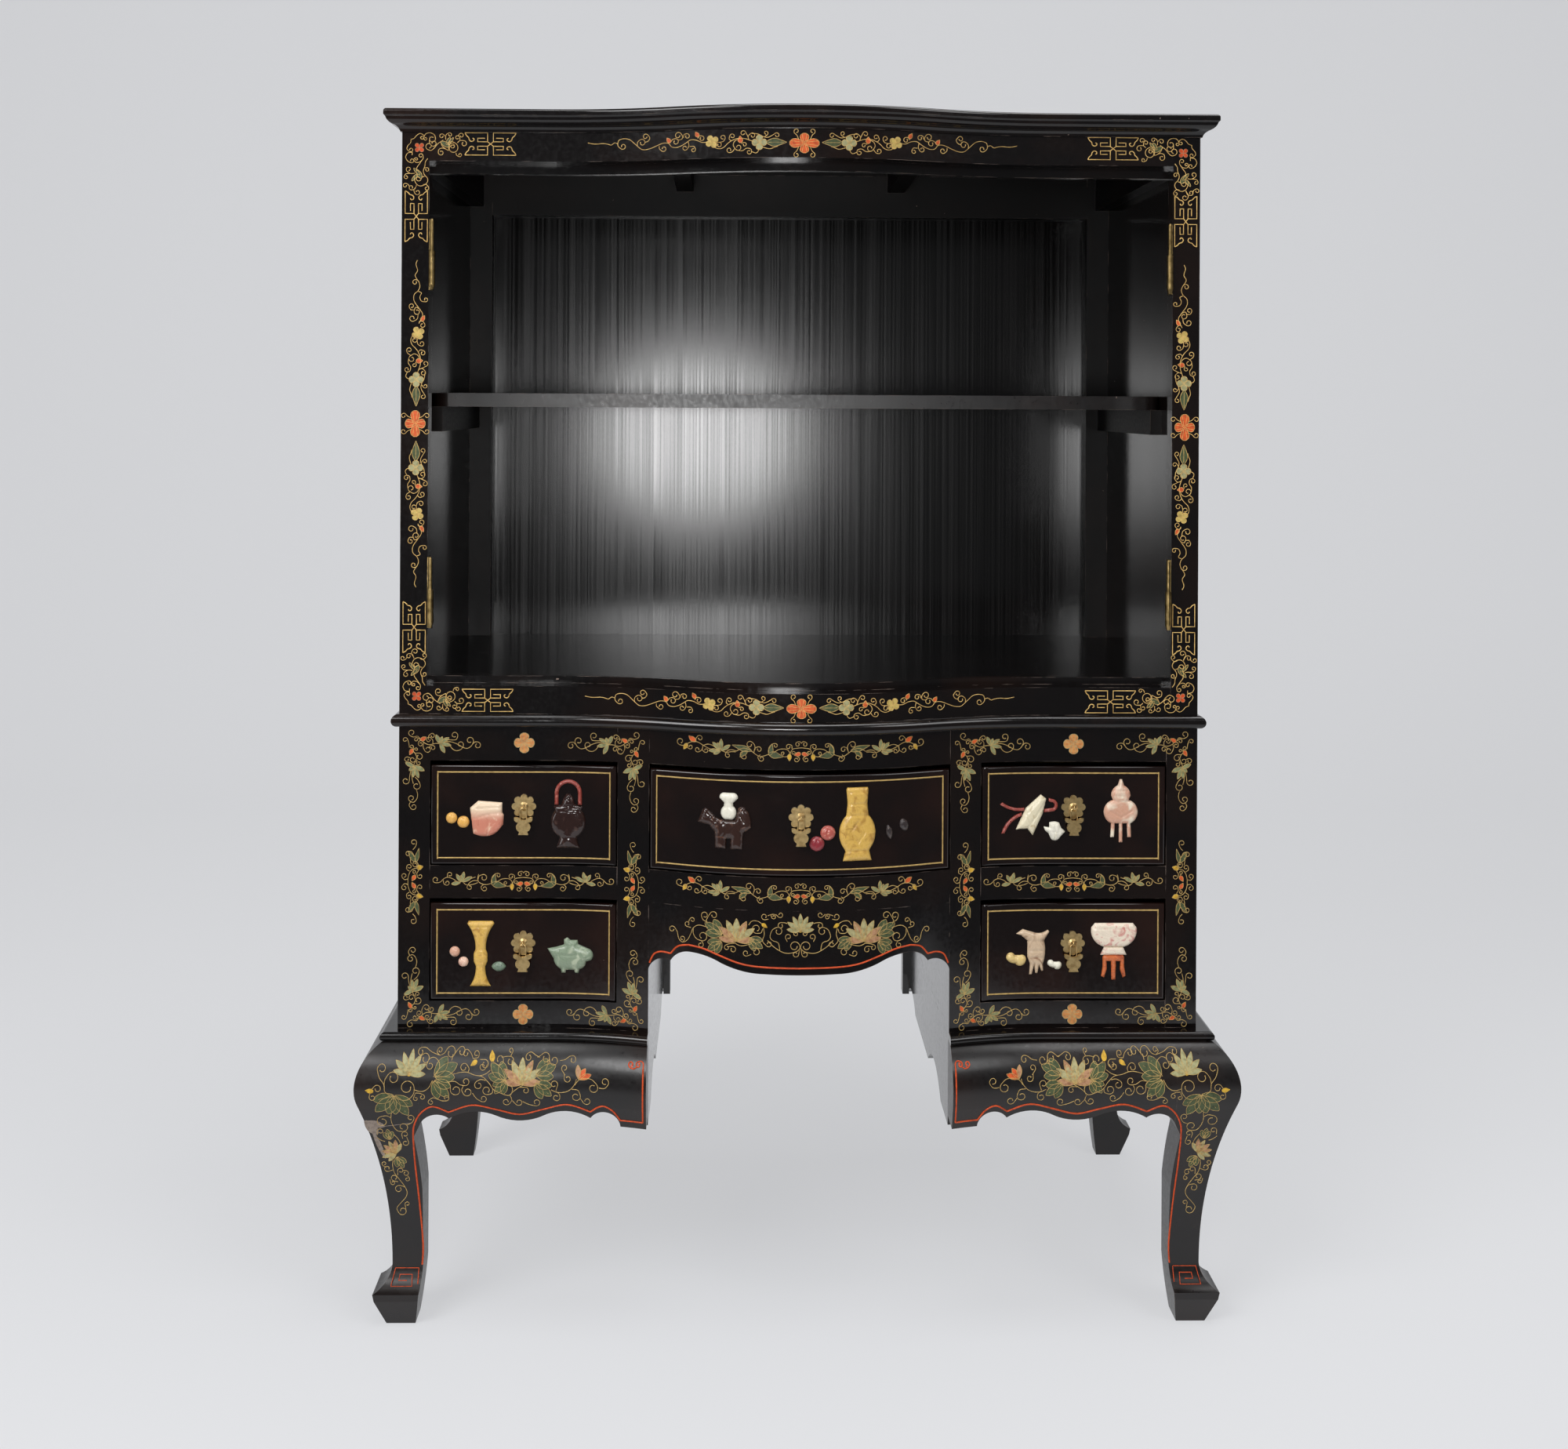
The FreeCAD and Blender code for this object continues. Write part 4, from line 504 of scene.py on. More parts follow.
# Flower in the middle of a band: four lobes with fine lines in them, and four small curls between them
def flowerHeart(size, stretch, colour="orange", rim="gold", curled=True):
    motif = []
    quatrefoil(motif, 0, 0, size, colour, stretch, rim)
    for quarter in range(4):
        reach = size / 2 * (stretch if quarter % 2 == 0 else 1.0)
        for aside in (-0.09, 0.09):
            line = [(reach * share, size * aside * (0.4 + share)) for share in (0.2, 0.55, 0.9)]
            stroke(motif, [rotated(a, b, 90 * quarter) for a, b in line], brush["fine"], rim)
    if curled:
        for across in (-1, 1):
            for up in (-1, 1):
                stem = [(across * a, up * b) for a, b in ((7, 4), (9, 9), (12, 12))]
                tendrils(motif, ((across * up * 3, *stem),))
    return motif


# Half of the vine on the rails between and over the drawers: an arch over two buds, a trumpet leaf, a lotus;
# the centre rails have a second trumpet leaf and a bud at the end
def railVine(onPedestal):
    motif = []
    tendrils(motif, (
        (2.6, (0, 11), (-2, 13), (-5, 12.5)), (0, (0, 5.5), (-5, 5), (-10, 4), (-12.5, 1), (-14, -3)),
        (2, (-6, -2), (-8, 0.5)), (-2.6, (-5, -5), (-2, -7.5), (-3.5, -10.5)),
        (2.8, (-11.5, 4.5), (-11.5, 8), (-14.5, 9.5)),
        (0, (-14, -2), (-15, 1), (-18, 3.5), (-23, 4), (-28, 3), (-32, 0.5), (-34, -1)),
        (-2, (-16, -5), (-21, -5.5), (-24, -3)), (-2.4, (-39.5, -1), (-39.5, 5), (-36, 9.5), (-32, 10.5)),
        (3, (-50, -3.5), (-53, -6.5), (-51.5, -10))), brush["vine"])
    petalRows(motif, "drop", "orange", ((-1, -1.5, 195, 8, 5),))
    petalRows(motif, "drop", "yellow", ((-14.5, -2.5, -90, 8, 5),))
    petalRows(motif, "leaf", "green", ((-40, -2, -12, 18, 8), (-38.5, -4, 78, 14, 6)))
    if onPedestal:
        tendrils(motif, (
            (0, (-40, -2), (-46, -3.5), (-51, -3), (-55, -1), (-57, 2), (-57, 6), (-56, 9.5)),
            (-3.8, (-57, 2), (-55.5, 7), (-51, 9)), (3, (-57, 1), (-62, 1.5), (-67, -1), (-70, -5)),
            (0, (-57, -1), (-62, -3), (-68, -4), (-72, -3.5), (-75, -1)), (0, (-66, 4), (-60, 6)),
            (-3.6, (-83, 0), (-88, 3.5), (-94, 5.5), (-99, 4), (-104, -0.5), (-109, -1.5)),
            (-2.8, (-95, 5), (-95, 9)), (2.8, (-100, 2), (-99.5, -2), (-97, -4))), brush["vine"])
        petalRows(motif, "lotus", "willow", (
            (-79, -1, 190, 11, 4.5), (-78, 0, 122, 11, 4), (-77, 0, 100, 8, 4), (-77, 0, 78, 12.5, 4.5),
            (-76, 0, 28, 13, 4.5)))
        return motif
    tendrils(motif, (
        (0, (-40, -3), (-46, -5), (-51, -5.5), (-56, -3), (-60, 0), (-64, 2.5), (-70, 4), (-75, 2.5),
         (-79, 0)), (-3, (-58, -1.5), (-56.5, 4), (-53, 6)), (3.8, (-56.5, 2), (-57, 8), (-60, 11.5)),
        (2.8, (-67, 0.5), (-73, -1), (-74.5, -5), (-72, -8.5)),
        (2.8, (-79, 0), (-85, 1.5), (-90, 0), (-92.5, -4)), (0, (-80, -1), (-85, -1), (-92, -2), (-97, 0)),
        (-4, (-102, 0.5), (-109, 0.5), (-118, 4), (-126, 8.5), (-133, 9), (-139, 6.5), (-144, 3.5),
         (-149, 4)), (0, (-120, 5), (-114, 7), (-108, 5.5), (-104, 3)),
        (-3.2, (-129, 9.5), (-129, 13), (-127, 16)), (-3, (-120.5, 5), (-121.5, 0), (-125, -3)),
        (2.6, (-120.5, 3), (-121, -0.5), (-118.5, -3)),
        (2.6, (-140, 5.5), (-140, 2), (-137.5, 0))), brush["vine"])
    petalRows(motif, "leaf", "green", ((-61, 1, 165, 24, 7), (-66, 1, 222, 12, 5)))
    petalRows(motif, "lotus", "willow", (
        (-100, 0, 184, 13, 4.5), (-99, -1, 203, 9, 4), (-100, 1, 134, 12, 4.5), (-99, 1, 112, 9, 4),
        (-98, 1, 90, 13, 4.5), (-98, 0, 32, 13, 4.5)))
    petalRows(motif, "drop", "orange", ((-130, 9.5, 142, 10, 6),))
    petalRows(motif, "drop", "yellow", ((-140, 6, 240, 8, 5),))
    return motif


# Half of the vine on the stiles beside the drawers
def stileVine():
    motif = []
    tendrils(motif, (
        (3, (-31, 2.5), (-36.5, 0), (-38, -4)), (3.4, (-40, 1), (-43.5, 4), (-48, 5.5)),
        (0, (-31, -1.5), (-26, -2), (-22, -1)), (2.8, (-25.5, 5), (-24.5, 2), (-22, 1)),
        (0, (-26, 4), (-22, 7.5), (-17, 6)), (-2.8, (-13, -3), (-15.5, -6.5), (-19, -6.5)),
        (0, (-17, 6), (-16, 2), (-14, -1), (-10, -3.5), (-4, -5), (0, -5)),
        (2.8, (-17, 5.5), (-14, 8), (-10.5, 6), (-6, 7)), (-3, (-3.5, -5), (-2.5, -9), (-5, -12)),
        (-2, (-9, 4.5), (-10.5, 2))), brush["vine"])
    petalRows(motif, "leaf", "green", ((-24, 4.5, 167, 18, 5), (-25, 4, 214, 16, 6)))
    petalRows(motif, "drop", "yellow", ((-17, 6, 105, 8, 6),))
    petalRows(motif, "drop", "orange", ((-8, 4, -30, 8, 5),))
    return motif


# Spray that turns a corner of the lower frame, drawn for the upper left one
def cornerSpray():
    motif = []
    tendrils(motif, (
        (-3.8, (9, 2), (6, 5), (1, 4), (-3, 5.5)), (2.4, (9, 1), (6, 3)),
        (2.6, (11, 0), (7.5, -1.5), (7, -4.5)),
        (0, (12, -1), (16, -4), (20, -5.5), (24, -5), (28, -4), (33, -4)),
        (3.8, (14, -3), (13, -8), (15, -13)), (-2.8, (20, -10), (21.5, -7.5), (24, -6.5)),
        (3.2, (25, -4), (25, 0), (22.5, 3)), (-2.8, (19.5, 1), (20, 5.5), (22.5, 8)),
        (3.8, (40, 1), (48, 0.5), (54, 1), (56, 5)),
        (4.2, (40, -1.5), (48, -2), (55, -4.5), (62, -8.5), (68, -10), (73, -7), (75.5, -2)),
        (3.6, (46, -6), (50, -11), (55, -13), (60.5, -11), (63, -7)),
        (-3.8, (75, -4.5), (77.5, -2), (81, -2)), (2.8, (-4, -9), (-5, -3), (-6.5, 1.5)),
        (2.2, (0.5, -12), (1, -8.5)), (-1.8, (1, -12), (3, -10)), (-4, (0.5, -13), (3, -16), (8, -16)),
        (-3.4, (3, -16), (5, -21), (3.5, -25.5)), (3, (-3, -22), (-6, -21)), (2.4, (5.5, -24.5), (5, -28)),
        (0, (4, -26), (2, -29), (1.5, -32)), (-4, (-2, -38), (-3.5, -45), (-4, -51)),
        (-4.4, (3, -46), (7, -50), (9.5, -55)), (0, (-1, -42), (-0.5, -48), (1, -54)),
        (-3.6, (5, -62), (6.5, -68), (5, -74), (1, -77.5), (-3, -76)),
        (3.6, (-2.5, -77), (-4, -81), (-2, -85))), brush["vine"])
    petalRows(motif, "drop", "orange", ((10, 0, 30, 8, 5), (0, -11, -118, 8, 5)))
    petalRows(motif, "lotus", "willow", (
        (34, -4, 115, 12, 5), (34, -4, 72, 9, 4.5), (35, -3, 32, 12, 4.5), (35, -4, -10, 13, 4.5),
        (34, -4, -63, 13, 5), (2, -33, 155, 12, 5), (2, -32, -25, 14, 5.5), (2, -33, -68, 15, 5),
        (2, -33, 218, 8, 4.5), (1.5, -33, -93, 13, 4.5)))
    return motif


# Spray at a corner of the upper frame: clouds round a small flower, and a leaf in each arm
def crownSpray():
    motif = []
    petalRows(motif, "petal", "vermilion", [(3.5, -5, turn, 6.5, 5) for turn in (45, 135, 225, 315)], "rose")
    tendrils(motif, (
        (-2.2, (-7, 5), (-3, 6.5), (0, 10), (4, 12.5), (8, 11), (9, 8)),
        (-4, (9, 9), (12, 12.5), (17, 13.5), (22, 11), (23.5, 7)), (2, (9.5, 10), (9, 6.5)),
        (3.6, (16, 5.5), (16, 1), (18, -2)),
        (-4, (33, 4.5), (30, 2.5), (26, -0.5), (22, -5.5), (18, -8.5), (14, -7.5)),
        (2.6, (-7, 5), (-7.5, 1), (-11, -3), (-12, -7), (-9, -10)),
        (2.6, (-6, -11), (-11, -12), (-13.5, -17), (-11, -22), (-7, -24)),
        (0, (-8, -10), (-5.5, -11), (-5.5, -14.5)), (-1.8, (-3.5, -19.5), (-1.5, -18)),
        (2.6, (-3.5, -20), (-1, -23.5), (4, -23), (8, -19), (8, -15)),
        (0, (8, -19), (4, -25), (0.5, -30), (0.5, -34)), (0, (30, 2), (32, -3), (36, -6.5), (40, -8.5)),
        (3.2, (37, -7), (32, -5.5), (28, -7), (27, -10.5)), (-6.2, (40, 1.5), (44, 2.5), (48, 1)),
        (-3, (40, -8), (40, -2), (43, 0)), (2.2, (49, -11.5), (50, -14.5), (53, -16)),
        (-3.4, (51, 1.5), (54, 4), (59, 4)), (2.6, (54, 4), (53.5, 8)), (-2.8, (51.5, 9.5), (53, 12)),
        (2.8, (36, 5), (36, 8.5), (33.5, 11.5)), (-2.4, (36, 8), (37, 11.5), (40, 13.5)),
        (0, (14, -18.5), (11, -23), (10.5, -28), (8.5, -34), (10, -39), (13.5, -43), (14, -47), (11, -51),
         (5, -53), (0, -50.5), (-2.5, -45), (-3, -40)), (-3, (10, -41), (7, -42), (5.5, -45)),
        (-2.4, (10, -30.5), (12.5, -30)), (-3, (-2, -37), (-7, -37.5), (-11.5, -35)),
        (2.4, (-8, -37.5), (-13, -38), (-15, -40.5)), (-2.6, (8, -51.5), (12, -51), (15, -54)),
        (-2.8, (0, -52), (-2, -57), (-6, -58)), (2.6, (-8.5, -56), (-9.5, -52), (-12.5, -50)),
        (3.2, (0, -53), (-3, -58), (-2, -62))))
    petalRows(motif, "lobe", "green", (
        (30, 2.5, -28, 13, 6), (37, -1, 62, 10, 4), (39, -1, 52, 11, 3), (0.5, -33, -62, 12, 6),
        (4, -39, 132, 11, 3.5), (1, -38, 232, 11, 3.5)))
    return motif


def placeMotif(motif, x, z, angle=0, mirror=False, face=caseFace, body=cabinet):
    lift = brush["lift"]

    def land(u, v):
        a, b = rotated(-u if mirror else u, v, angle)
        return face(x + a, z + b)

    for kind, colour, *mark in motif:
        if colour == "gold" and z < bands["dull"]:
            colour = "oldGold"
        if kind == "line":
            width, points = mark
            path = []
            for u, v in points:
                point, normal = land(u, v)
                path.append((point + normal * lift) * mm)
            lineWork.setdefault((body, colour), []).append((path, width / 2 * mm))
        else:
            shape, (u, v), tilt, length, width = mark
            sides = (-1, -0.5, 0, 0.5, 1) if width > brush["broad"] else (-1, 0, 1)
            half = outlineFor(shape, length)
            points, faces = petalWork.setdefault((body, colour), ([], []))
            first, back, count = len(points), [], len(sides)
            for row, (t, w) in enumerate(half):  # a thin film of paint that follows the face
                for column, share in enumerate(sides):
                    a, b = rotated(t * length, share * w * width, tilt)
                    point, normal = land(u + a, v + b)
                    thick = brush["film"] * (1 - brush["thinner"] * share ** 2)
                    points.append((point + normal * (lift + thick)) * mm)
                    if row and column:
                        here = first + row * count + column
                        faces.append((here, here - 1, here - 1 - count, here - count))
                    back.append((point - normal * brush["sunk"]) * mm)
            last = (len(half) - 1) * count
            rim = ([*range(count)] + [row * count + count - 1 for row in range(1, len(half))]
                   + [last + column for column in range(count - 2, -1, -1)]
                   + [row * count for row in range(len(half) - 2, 0, -1)])
            under = len(points)
            points += [back[index] for index in rim]
            faces.append([under + index for index in range(len(rim))])
            for index in range(len(rim)):
                after = (index + 1) % len(rim)
                faces.append((first + rim[index], first + rim[after], under + after, under + index))


def placeHalves(half, *place, **where):  # a half as it was drawn, and its mirror image
    for mirror in (False, True):
        placeMotif(half, *place, mirror=mirror, **where)


# Levels and places of the painted bands on the case, in millimetres
bands = {"head": 1462.5, "crown": 1466.5, "sill": 772.0, "stile": 482.0, "stileMiddle": 1117.0,
         "topRail": 719.0, "middleRail": 545.5, "bottomRail": 380.0, "pedestal": 344.0, "stileAway": 139.0,
         "fretAcross": 390.0, "fretUp": 91.0, "sprayUp": 3.0, "dull": 750.0}  # gold is older below "dull"

for level in (bands["head"], bands["sill"]):
    placeMotif(flowerHeart(24, 1.5), 0, level)
    placeHalves(longVine(True), 0, level)
spray = crownSpray()
for side in (-1, 1):
    stile = side * bands["stile"]
    placeMotif(flowerHeart(25, 1.3), stile, bands["stileMiddle"], 90)
    placeHalves(longVine(False), stile, bands["stileMiddle"], 90 * side)
    for level, way in ((bands["crown"], -1), (bands["sill"], 1)):
        placeMotif(keyFret(), side * bands["fretAcross"], level)
        placeMotif(keyFret(), stile, level + way * bands["fretUp"], 90)
    placeMotif(spray, stile, bands["crown"], 0, side > 0)
    placeMotif(spray, stile, bands["sill"], 180, side < 0)

spray = cornerSpray()
for side in (-1, 1):
    middle = side * bands["pedestal"]
    for level in (bands["topRail"], bands["bottomRail"]):
        placeMotif(flowerHeart(25, 1.0, "apricot", "cream", False), middle, level)
    for outward in (-1, 1):
        across = middle + outward * bands["stileAway"]
        placeMotif(spray, across, bands["topRail"] + bands["sprayUp"], 0, outward > 0)
        placeMotif(spray, across, bands["bottomRail"] - bands["sprayUp"], 180, outward < 0)
        placeMotif(railVine(True), middle, bands["middleRail"], 0, outward > 0)
        placeHalves(stileVine(), across, bands["middleRail"], 90 * outward)
for level in (bands["topRail"], bands["middleRail"]):
    placeHalves(railVine(False), 0, level)

# Kneehole apron: three lotuses on one scroll, and the vermilion line over its scalloped edge
kneeApron = {"painted": 506.0, "lotus": 501.0, "above": 8.5, "half": 185.5,
             "edge": [[(187, 442), (180, 453), (171, 457), (159, 456)],
                      [(159, 456), (150, 466), (136.5, 469)],
                      [(136.5, 469), (118, 466), (97, 458.5), (72, 450.5), (45, 447.5), (0, 446.7)]]}
motif = []
tendrils(motif, (
    (3.6, (-113, -5), (-124, -3), (-131, -7), (-134, -14), (-138, -22), (-144, -26), (-149, -22), (-151, -14),
     (-154, -9)), (2.8, (-144, -26), (-142, -23)), (-3, (-134, -7), (-139, -6)), (-2.8, (-137, 0), (-135, 4)),
    (5.4, (-131, -8), (-131, -14), (-127, -20), (-121, -22)), (-3.2, (-121, -22), (-119, -25)),
    (-4, (-115, 2), (-119, 4), (-121, 8)), (-4.2, (-115, 4), (-113, 8), (-110, 13)),
    (0, (-115, 4), (-114, -1)), (0, (-60, -22), (-72, -25), (-80, -22)),
    (3, (-80, -22), (-86, -23), (-91, -25)), (-3.6, (-89, -27), (-83, -26)), (-3.4, (-60, -35), (-65, -37)),
    (-4.2, (-59, -27), (-54, -27)), (0, (-63, 1), (-59, 6), (-52, 6), (-47, 3)),
    (-5.2, (-46, -3), (-48, -8), (-53, -9)), (3.4, (-45, -2), (-44, -10), (-46, -18), (-41, -24)),
    (-5.6, (-40, -17), (-32, -25), (-19, -32), (-7, -31), (-1, -27), (1, -22)),
    (-4.6, (-25, -29), (-27, -20), (-34, -17), (-37, -12), (-34, -4), (-29, -1)),
    (-3.4, (-16, -18), (-18, -14)), (-3.4, (-1, -28), (-2, -34)), (-3.6, (-39, 9), (-43, 8)),
    (0, (-40, 13), (-34, 15), (-29, 14)), (2.4, (-36, 14), (-35, 11)), (3.2, (-30, 15), (-27, 12)),
    (3.4, (-16, 4), (-20, 5), (-24, 5)), (2.4, (-9, -4), (-8, -9))))
vineLeaves(motif, ((-96, -12, 149, 24), (-97, -21, 217, 20), (-62, -16, -34, 19)))
lotusBloom(motif, -78, -19, 27)
petalRows(motif, "drop", "yellow", ((-47, 3, -35, 8, 4.8),), None)
placeHalves(motif, 0, kneeApron["painted"])
motif = []
openLotus(motif, 0, kneeApron["lotus"], 90, 20)
for lobe in kneeApron["edge"]:
    for sign in (-1, 1):
        line = [(sign * min(u, kneeApron["half"]), v + kneeApron["above"]) for u, v in lobe]
        stroke(motif, smoothPath(line), brush["edge"], "vermilion")
placeMotif(motif, 0, 0)

# Base aprons, knees and legs: lotus scroll, and the vermilion line along the scallops and down the legs
motif = []
tendrils(motif, (  # the apron, from the knee inwards
    (3.4, (-442, 340), (-452, 343), (-460, 347), (-466, 347)), (-2.6, (-442, 340), (-446, 343), (-445, 346)),
    (-5.6, (-442, 340), (-437, 342), (-434, 346)), (-4.2, (-425, 340), (-422, 344), (-419, 347)),
    (0, (-426, 341), (-427, 335)), (-5, (-467, 331), (-467, 337), (-463, 341)),
    (4, (-448, 318), (-442, 326), (-442, 333), (-448, 338), (-454, 337), (-457, 332)),
    (-5.2, (-501, 296), (-507, 301), (-508, 309), (-514, 317), (-517, 325)),
    (-6.5, (-508, 307), (-507, 315), (-503, 321)), (-4.4, (-523, 303), (-520, 307)),
    (3.6, (-525, 299), (-526, 294)), (8, (-493, 293), (-486, 290), (-478, 291), (-472, 298), (-471, 305)),
    (0, (-471, 303), (-462, 301), (-454, 305), (-449, 314)), (-3, (-470, 299), (-465, 299), (-460, 297)),
    (2.6, (-470, 298), (-472, 293)),
    (0, (-424, 321), (-415, 323), (-407, 323), (-398, 320), (-388, 318), (-380, 311), (-374, 303),
     (-366, 299), (-356, 296), (-350, 301), (-343, 306), (-337, 309)),
    (4.2, (-406, 323), (-405, 327), (-408, 331)), (0, (-392, 319), (-385, 321), (-379, 325)),
    (6, (-430, 312), (-427, 308), (-427, 303)), (4.2, (-430, 312), (-422, 313), (-415, 309), (-409, 308)),
    (5, (-411, 308), (-413, 303), (-411, 298)), (4, (-400, 299), (-395, 292), (-389, 288)),
    (3.2, (-442, 291), (-448, 293), (-453, 290)), (3.6, (-442, 291), (-437, 289), (-432, 289)),
    (4.6, (-384, 314), (-390, 315), (-395, 313)), (-5, (-375, 305), (-376, 299), (-381, 297)),
    (3.4, (-401, 337), (-404, 342), (-408, 345)), (3, (-401, 337), (-395, 338), (-394, 341)),
    (-4.3, (-392, 336), (-386, 336)), (-3.6, (-383, 331), (-385, 327)), (5, (-376, 334), (-371, 331)),
    (-4.2, (-366, 338), (-360, 339), (-355, 339)), (2.4, (-355, 339), (-353, 343)),
    (3.6, (-319, 338), (-324, 340), (-330, 343), (-334, 342)), (-5, (-322, 338), (-318, 340), (-315, 342)),
    (0, (-307, 336), (-308, 331)), (4.6, (-308, 338), (-306, 333)),
    (-3.6, (-294, 335), (-288, 336), (-283, 339), (-279, 340)), (-3.6, (-343, 306), (-335, 306)),
    (0, (-353, 309), (-351, 303), (-353, 297)), (-4.2, (-354, 296), (-352, 290), (-355, 285)),
    (4.2, (-352, 290), (-347, 284)), (4.4, (-339, 288), (-331, 284), (-323, 282)),
    (0, (-304, 303), (-297, 300), (-289, 300), (-281, 303), (-275, 310), (-273, 316)),
    (-5.6, (-275, 309), (-270, 315), (-262, 317), (-254, 316), (-248, 311)),
    (4.4, (-245, 307), (-238, 307), (-234, 311)), (4.2, (-298, 302), (-296, 308)),
    (-4.2, (-298, 301), (-294, 298), (-293, 294)), (-3.4, (-287, 320), (-291, 325)),
    (3.8, (-288, 321), (-288, 316)), (-5.2, (-279, 304), (-271, 303), (-268, 297)),
    (4.4, (-268, 293), (-264, 287))))
tendrils(motif, (  # the leg, from the knee down
    (6.5, (-501, 265), (-506, 268), (-513, 267)),
    (5.6, (-500, 272), (-501, 263), (-499, 254), (-494, 247), (-487, 246)),
    (4, (-482, 255), (-476, 258), (-473, 263)), (-3.8, (-488, 236), (-489, 241)),
    (-3.6, (-483, 238), (-481, 231)), (0, (-520, 238), (-515, 234), (-510, 232)),
    (-3.6, (-519, 241), (-519, 246)), (0, (-499, 242), (-494, 236), (-491, 229), (-491, 222)),
    (5, (-501, 206), (-502, 199), (-500, 189), (-494, 180), (-488, 171), (-485, 163), (-487, 156),
     (-493, 149), (-498, 142), (-496, 136)), (-2.8, (-487, 141), (-488, 147)),
    (-3.8, (-502, 193), (-507, 191)), (-2.8, (-510, 196), (-514, 199)), (-3.4, (-496, 186), (-496, 192)),
    (-3.4, (-490, 192), (-486, 192)), (-2.6, (-484, 185), (-482, 182)), (-4, (-496, 177), (-501, 178)),
    (2.6, (-506, 180), (-505, 175)), (4.4, (-485, 164), (-488, 170), (-494, 172))))
vineLeaves(motif, ((-446, 319, 26, 29), (-447, 313, -47, 26), (-361, 314, 133, 25), (-360, 314, 231, 20),
                   (-322, 320, 24, 25), (-323, 310, -37, 24), (-496, 295, 222, 31), (-495, 295, -60, 30),
                   (-504, 235, 100, 14), (-496, 210, -62, 16)))
openLotus(motif, -478, 321, 84, 24)
lotusBloom(motif, -340, 310, 28)
lotusBloom(motif, -497, 216, 18, ("rose", "cream", "rose"), 145)
for tilt, length, colour in ((97, 15, "rose"), (20, 16, "orange"), (56, 14, "orange")):
    petal(motif, "lotus", colour, -270, 316, tilt, length, 6.5, "gold")
petalRows(motif, "drop", "yellow", (
    (-521, 301, 172, 10, 6), (-396, 335, 215, 9, 5.4), (-377, 334, 98, 11, 6.6)), None)
lobes = [[(-191, 332), (-191, 266)], [(-191, 266), (-219, 266)],
         [(-219, 266), (-229, 279), (-242, 284), (-256, 275)],
         [(-256, 275), (-284, 284), (-314, 277), (-343, 270), (-372, 277), (-401, 283), (-430, 273)],
         [(-430, 273), (-449, 281), (-463, 273), (-472, 258), (-475, 240), (-474, 200), (-470, 150),
          (-466, 96), (-467, 70)]]
for lobe in lobes:
    stroke(motif, smoothPath(lobe), brush["edge"], "vermilion")
tendrils(motif, ((2.6, (-191, 330), (-191, 337), (-194, 339), (-198, 338)),
                 (-2.9, (-199, 333), (-203, 331), (-207, 332))), brush["curl"], "vermilion")
meander = [(-471, 50), (-471, 66), (-500, 66), (-504, 48), (-478, 48), (-479, 59), (-494, 59), (-495, 53),
           (-485, 53)]
stroke(motif, meander, brush["fret"], "vermilion")
placeHalves(motif, 0, 0, face=baseFace)

# Flaked lacquer at the outer edge of the left knee, and a scratch across it
motif = []
petalRows(motif, "lobe", "bare", (
    (-533, 261, -52, 24, 13), (-531, 260, -18, 23, 9), (-525, 248, -70, 42, 6)), None)
stroke(motif, [(-512, 253), (-495, 255), (-476, 258)], brush["fine"], "bare")
placeMotif(motif, 0, 0, face=baseFace)

# Gold border painted inside the edge of each drawer front
border = {"inset": 8.5, "steps": 24, "corner": 1.2}
for drawer in drawers:
    low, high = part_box(drawer + "_front")
    left, right = low.x / mm + border["inset"], high.x / mm - border["inset"]
    bottom, top = low.z / mm + border["inset"], high.z / mm - border["inset"]
    run = [left + (right - left) * index / border["steps"] for index in range(border["steps"] + 1)]
    motif = []
    for level in (bottom, top):
        stroke(motif, [(u, level) for u in run], brush["border"])
    for across in (left, right):
        ends = (bottom - border["corner"], top + border["corner"])
        stroke(motif, [(across, end) for end in ends], brush["border"])
    placeMotif(motif, 0, 0, body=drawer)
print("painting:", sum(len(strokes) for strokes in lineWork.values()), "strokes,",
      sum(len(faces) for _, faces in petalWork.values()), "faces of petals")


def newTree(name, inputs):
    tree = bpy.data.node_groups.new(name, "GeometryNodeTree")
    tree.interface.new_socket("Geometry", in_out="INPUT", socket_type="NodeSocketGeometry")
    for label, kind in inputs:
        tree.interface.new_socket(label, in_out="INPUT", socket_type=kind)
    tree.interface.new_socket("Geometry", in_out="OUTPUT", socket_type="NodeSocketGeometry")
    return tree, addNode(tree, "NodeGroupInput").outputs


def pointValue(tree, name, kind):
    return addNode(tree, "GeometryNodeInputNamedAttribute", {"Name": name}, data_type=kind).outputs[0]


def endTree(tree, geometry, material):
    whole = addNode(tree, "GeometryNodeRealizeInstances", {0: geometry}).outputs[0]
    dressed = addNode(tree, "GeometryNodeSetMaterial", {"Geometry": whole, "Material": material}).outputs[0]
    addNode(tree, "NodeGroupOutput", {0: dressed})


# A painted line: a round section along each path, as thick as the path's own half width
lineTree, given = newTree("paintedLine", [("Sides", "NodeSocketInt"), ("Material", "NodeSocketMaterial")])
paths = addNode(lineTree, "GeometryNodeMeshToCurve", {0: given["Geometry"]}).outputs[0]
section = addNode(lineTree, "GeometryNodeCurvePrimitiveCircle",
                  {"Resolution": given["Sides"], "Radius": 1.0}).outputs[0]
halfWidth = pointValue(lineTree, "halfWidth", "FLOAT")
tube = addNode(lineTree, "GeometryNodeCurveToMesh",
               {"Curve": paths, "Profile Curve": section, "Scale": halfWidth, "Fill Caps": True}).outputs[0]
smooth = addNode(lineTree, "GeometryNodeSetShadeSmooth", {0: tube}).outputs[0]
endTree(lineTree, smooth, given["Material"])

